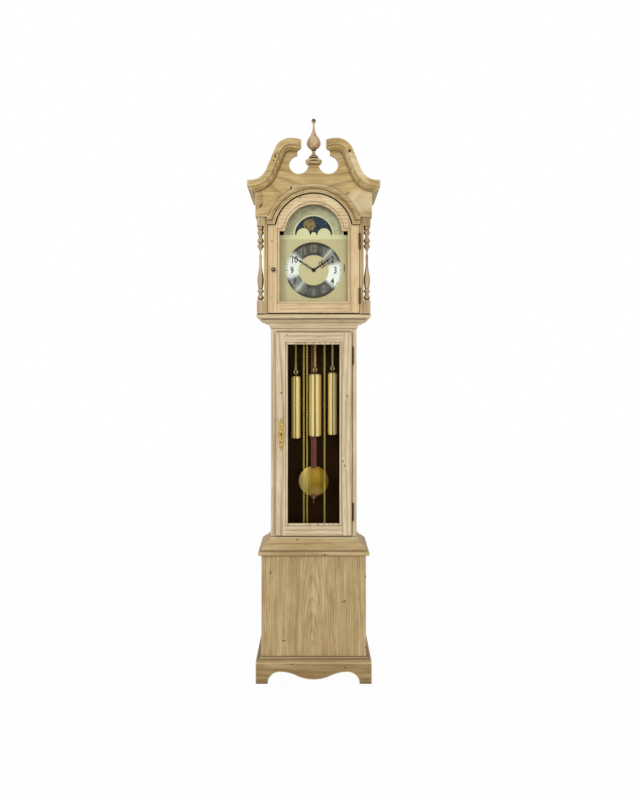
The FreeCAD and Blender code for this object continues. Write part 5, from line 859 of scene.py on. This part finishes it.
def lay_floor():
    """Pale floor that runs into the white room."""
    mesh = bpy.data.meshes.new("floor")
    corners = [(x * FLOOR_HALF, y * FLOOR_HALF, 0) for x, y in ((-1, -1), (1, -1), (1, 1), (-1, 1))]
    mesh.from_pydata(corners, [], [(0, 1, 2, 3)])
    floor = placed("floor", mesh)
    material, tree, spot = fresh_material("Floor, matt white paint")
    cloud = add(tree, "ShaderNodeTexNoise", {"Vector": spot, "Scale": 2.0})
    base = add(tree, "ShaderNodeMix", {0: cloud, 6: "#F7F7F6", 7: "#FCFCFB"}, data_type="RGBA")
    paint = add(tree, "ShaderNodeBsdfPrincipled", {
        "Base Color": base, "Roughness": 0.9, "Specular IOR Level": 0.1})
    # seen directly, in metal or through glass the floor glows nearly white of itself, as a backdrop does
    glow = add(tree, "ShaderNodeEmission", {0: "#FFFFFF", 1: 1.0})
    share = add(tree, "ShaderNodeMath", {0: rays(tree, *SEEN_DIRECTLY), 1: FLOOR_GLOW}, operation="MULTIPLY")
    finished(material, add(tree, "ShaderNodeMixShader", {0: share, 1: paint, 2: glow}))
    mesh.materials.append(material)


def white_room():
    """World that lights the object softly and looks white."""
    world = bpy.data.worlds.new("White room")
    world.use_nodes = True
    tree = world.node_tree
    tree.nodes.clear()
    soft = add(tree, "ShaderNodeBackground", {0: "#FFFFFF", 1: ROOM_LIGHT})
    white = add(tree, "ShaderNodeBackground", {0: "#FFFFFF", 1: 1.0})
    mixed = add(tree, "ShaderNodeMixShader", {0: rays(tree, *SEEN_DIRECTLY), 1: soft, 2: white})
    add(tree, "ShaderNodeOutputWorld", {"Surface": mixed})
    return world


def hang_lamps():
    """Soft lamps, all turned to the middle of the clock."""
    for name, place, size, power in LAMPS:
        light = bpy.data.lights.new(name, "AREA")
        light.energy = power
        light.size = size
        lamp = placed(name, light)
        lamp.location = place
        lamp.rotation_euler = (AIM - Vector(place)).to_track_quat("-Z", "Y").to_euler()


def level_camera():
    """Camera that looks level, with a small shift that frames the clock as the photograph does."""
    data = bpy.data.cameras.new("camera")
    data.sensor_fit = "VERTICAL"
    data.sensor_height = 36.0
    data.lens = 28.5
    data.shift_x = 0.0079
    data.shift_y = -0.034
    camera = placed("camera", data)
    camera.location = CAMERA_PLACE
    camera.rotation_euler = UPRIGHT
    return camera


def build_stage():
    """Set the floor, the room, the lamps and the camera."""
    scene = bpy.context.scene
    scene.view_settings.view_transform = "Standard"
    lay_floor()
    scene.world = white_room()
    hang_lamps()
    scene.camera = level_camera()


def size_prop(name, description, mm):
    """Length that a user may change, given in mm."""
    return bpy.props.FloatProperty(
        name=name, description=description, default=mm * MM, min=0.0, subtype="DISTANCE", unit="LENGTH",
        precision=4)


def colour_prop(name, description, shade):
    """Colour that a user may change, given as sRGB hex."""
    return bpy.props.FloatVectorProperty(
        name=name, description=description, default=linear(shade), size=4, min=0.0, max=1.0, subtype="COLOR")


class ClockSettings(bpy.types.PropertyGroup):
    """Sizes and colours to change before the pieces are built."""
    ring_spacing: size_prop("Ring spacing", "From one growth ring to the next", 13)
    hood_light: colour_prop("Hood, light", "Paler wood of the hood", "#D9BE82")
    hood_dark: colour_prop("Hood, dark", "Darker wood of the hood", "#B6955A")
    door_light: colour_prop("Hood door, light", "Paler wood of the hood door and finial", "#F0D6A8")
    door_dark: colour_prop("Hood door, dark", "Darker wood of the hood door", "#DBBA86")
    trunk_light: colour_prop("Trunk, light", "Paler wood of the trunk", "#F2DFBC")
    trunk_dark: colour_prop("Trunk, dark", "Darker wood of the trunk", "#D7C098")
    base_light: colour_prop("Base, light", "Paler wood of the base", "#D8BE8C")
    base_dark: colour_prop("Base, dark", "Darker wood of the base", "#B29562")
    foot_light: colour_prop("Foot, light", "Paler wood of the plinth", "#B89D6C")
    foot_dark: colour_prop("Foot, dark", "Darker wood of the plinth", "#927448")
    turned_light: colour_prop("Turned wood, light", "Paler wood of the columns", "#DCC297")
    turned_dark: colour_prop("Turned wood, dark", "Darker wood of the columns and finial", "#AE9064")
    grain: colour_prop("Late wood", "Dark line of each growth ring", "#7A5B30")
    # lime also paints the pale edges, partly wear and partly painted highlight
    lime: colour_prop("Lime", "Pale lime left in the pores and on worn edges", "#EAD9AE")
    # glazing, and the colour of the painted shade along corners and seams
    glaze: colour_prop("Glaze", "Brown glaze left in corners and grooves", "#46300F")
    # colour of the nearly black inside of the trunk
    stain: colour_prop("Stain", "Dark stain inside the trunk", "#382311")
    numeral_height: size_prop("Numeral height", "Height of the hour numerals", 24)
    numeral_weight: size_prop("Numeral weight", "How far the strokes of the numerals are thickened", 0.75)
    minute_dot: size_prop("Minute dot", "Width of a minute dot", 2.5)
    five_minute_dot: size_prop("Five minute dot", "Width of a dot that stands at an hour", 4.8)
    link_length: size_prop("Link length", "Length of a chain link from wire centre to wire centre", 7.2)
    link_width: size_prop("Link width", "Width of a chain link from wire centre to wire centre", 5)
    link_wire: size_prop("Link wire", "Thickness of the wire of a chain link", 2)
    # painted light: the ring's colours at its painted highlight and at its painted shade
    ring_bright: colour_prop("Ring, bright", "Silvered ring where it faces the light", "#F8F7F5")
    ring_dark: colour_prop("Ring, dark", "Silvered ring where it is turned from the light", "#241C12")
    dial_gold: colour_prop("Dial", "Lacquered dial plate", "#D0C197")
    weight_gold: colour_prop("Weights", "Polished brass of the weights", "#FFD060")
    chain_gold: colour_prop("Chains", "Brass wire of the chains", "#E8CE6C")
    bob_gold: colour_prop("Bob", "Spun brass of the pendulum bob", "#A57E14")


class CLOCK_OT_woods(bpy.types.Operator):
    """Dress the case in limed pine"""
    bl_idname = "clock.woods"
    bl_label = "Dress the case"

    def execute(self, context):
        build_woods(context.scene.clock_settings)
        return {"FINISHED"}


class CLOCK_OT_metals(bpy.types.Operator):
    """Dress brass, steel and glass, and hang the chains"""
    bl_idname = "clock.metals"
    bl_label = "Dress metal and glass"

    def execute(self, context):
        look = context.scene.clock_settings
        build_chains(look, build_metals(look))
        return {"FINISHED"}


class CLOCK_OT_dial(bpy.types.Operator):
    """Dress the dial and add numerals and dots"""
    bl_idname = "clock.dial"
    bl_label = "Finish the dial"

    def execute(self, context):
        build_dial(context.scene.clock_settings)
        return {"FINISHED"}


class CLOCK_OT_stage(bpy.types.Operator):
    """Set the floor, the room, the lamps and the camera"""
    bl_idname = "clock.stage"
    bl_label = "Set the stage"

    def execute(self, context):
        build_stage()
        return {"FINISHED"}


class CLOCK_PT_panel(bpy.types.Panel):
    """Buttons that build the clock's looks"""
    bl_label = "Clock"
    bl_space_type = "VIEW_3D"
    bl_region_type = "UI"
    bl_category = "Clock"

    def draw(self, context):
        for maker in MAKERS:
            self.layout.operator(maker.bl_idname)
        for name in ClockSettings.__annotations__:
            self.layout.prop(context.scene.clock_settings, name)


MAKERS = (CLOCK_OT_woods, CLOCK_OT_metals, CLOCK_OT_dial, CLOCK_OT_stage)
CLASSES = (ClockSettings,) + MAKERS + (CLOCK_PT_panel,)


def register():
    """Register the classes and the scene's settings."""
    for kind in CLASSES:
        bpy.utils.register_class(kind)
    bpy.types.Scene.clock_settings = bpy.props.PointerProperty(type=ClockSettings)


def unregister():
    """Take the classes and settings away again."""
    del bpy.types.Scene.clock_settings
    for kind in reversed(CLASSES):
        bpy.utils.unregister_class(kind)


def main():
    """Build everything."""
    register()
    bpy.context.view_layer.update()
    for maker in MAKERS:
        group, action = maker.bl_idname.split(".")
        getattr(getattr(bpy.ops, group), action)()


if __name__ == "__main__":
    main()
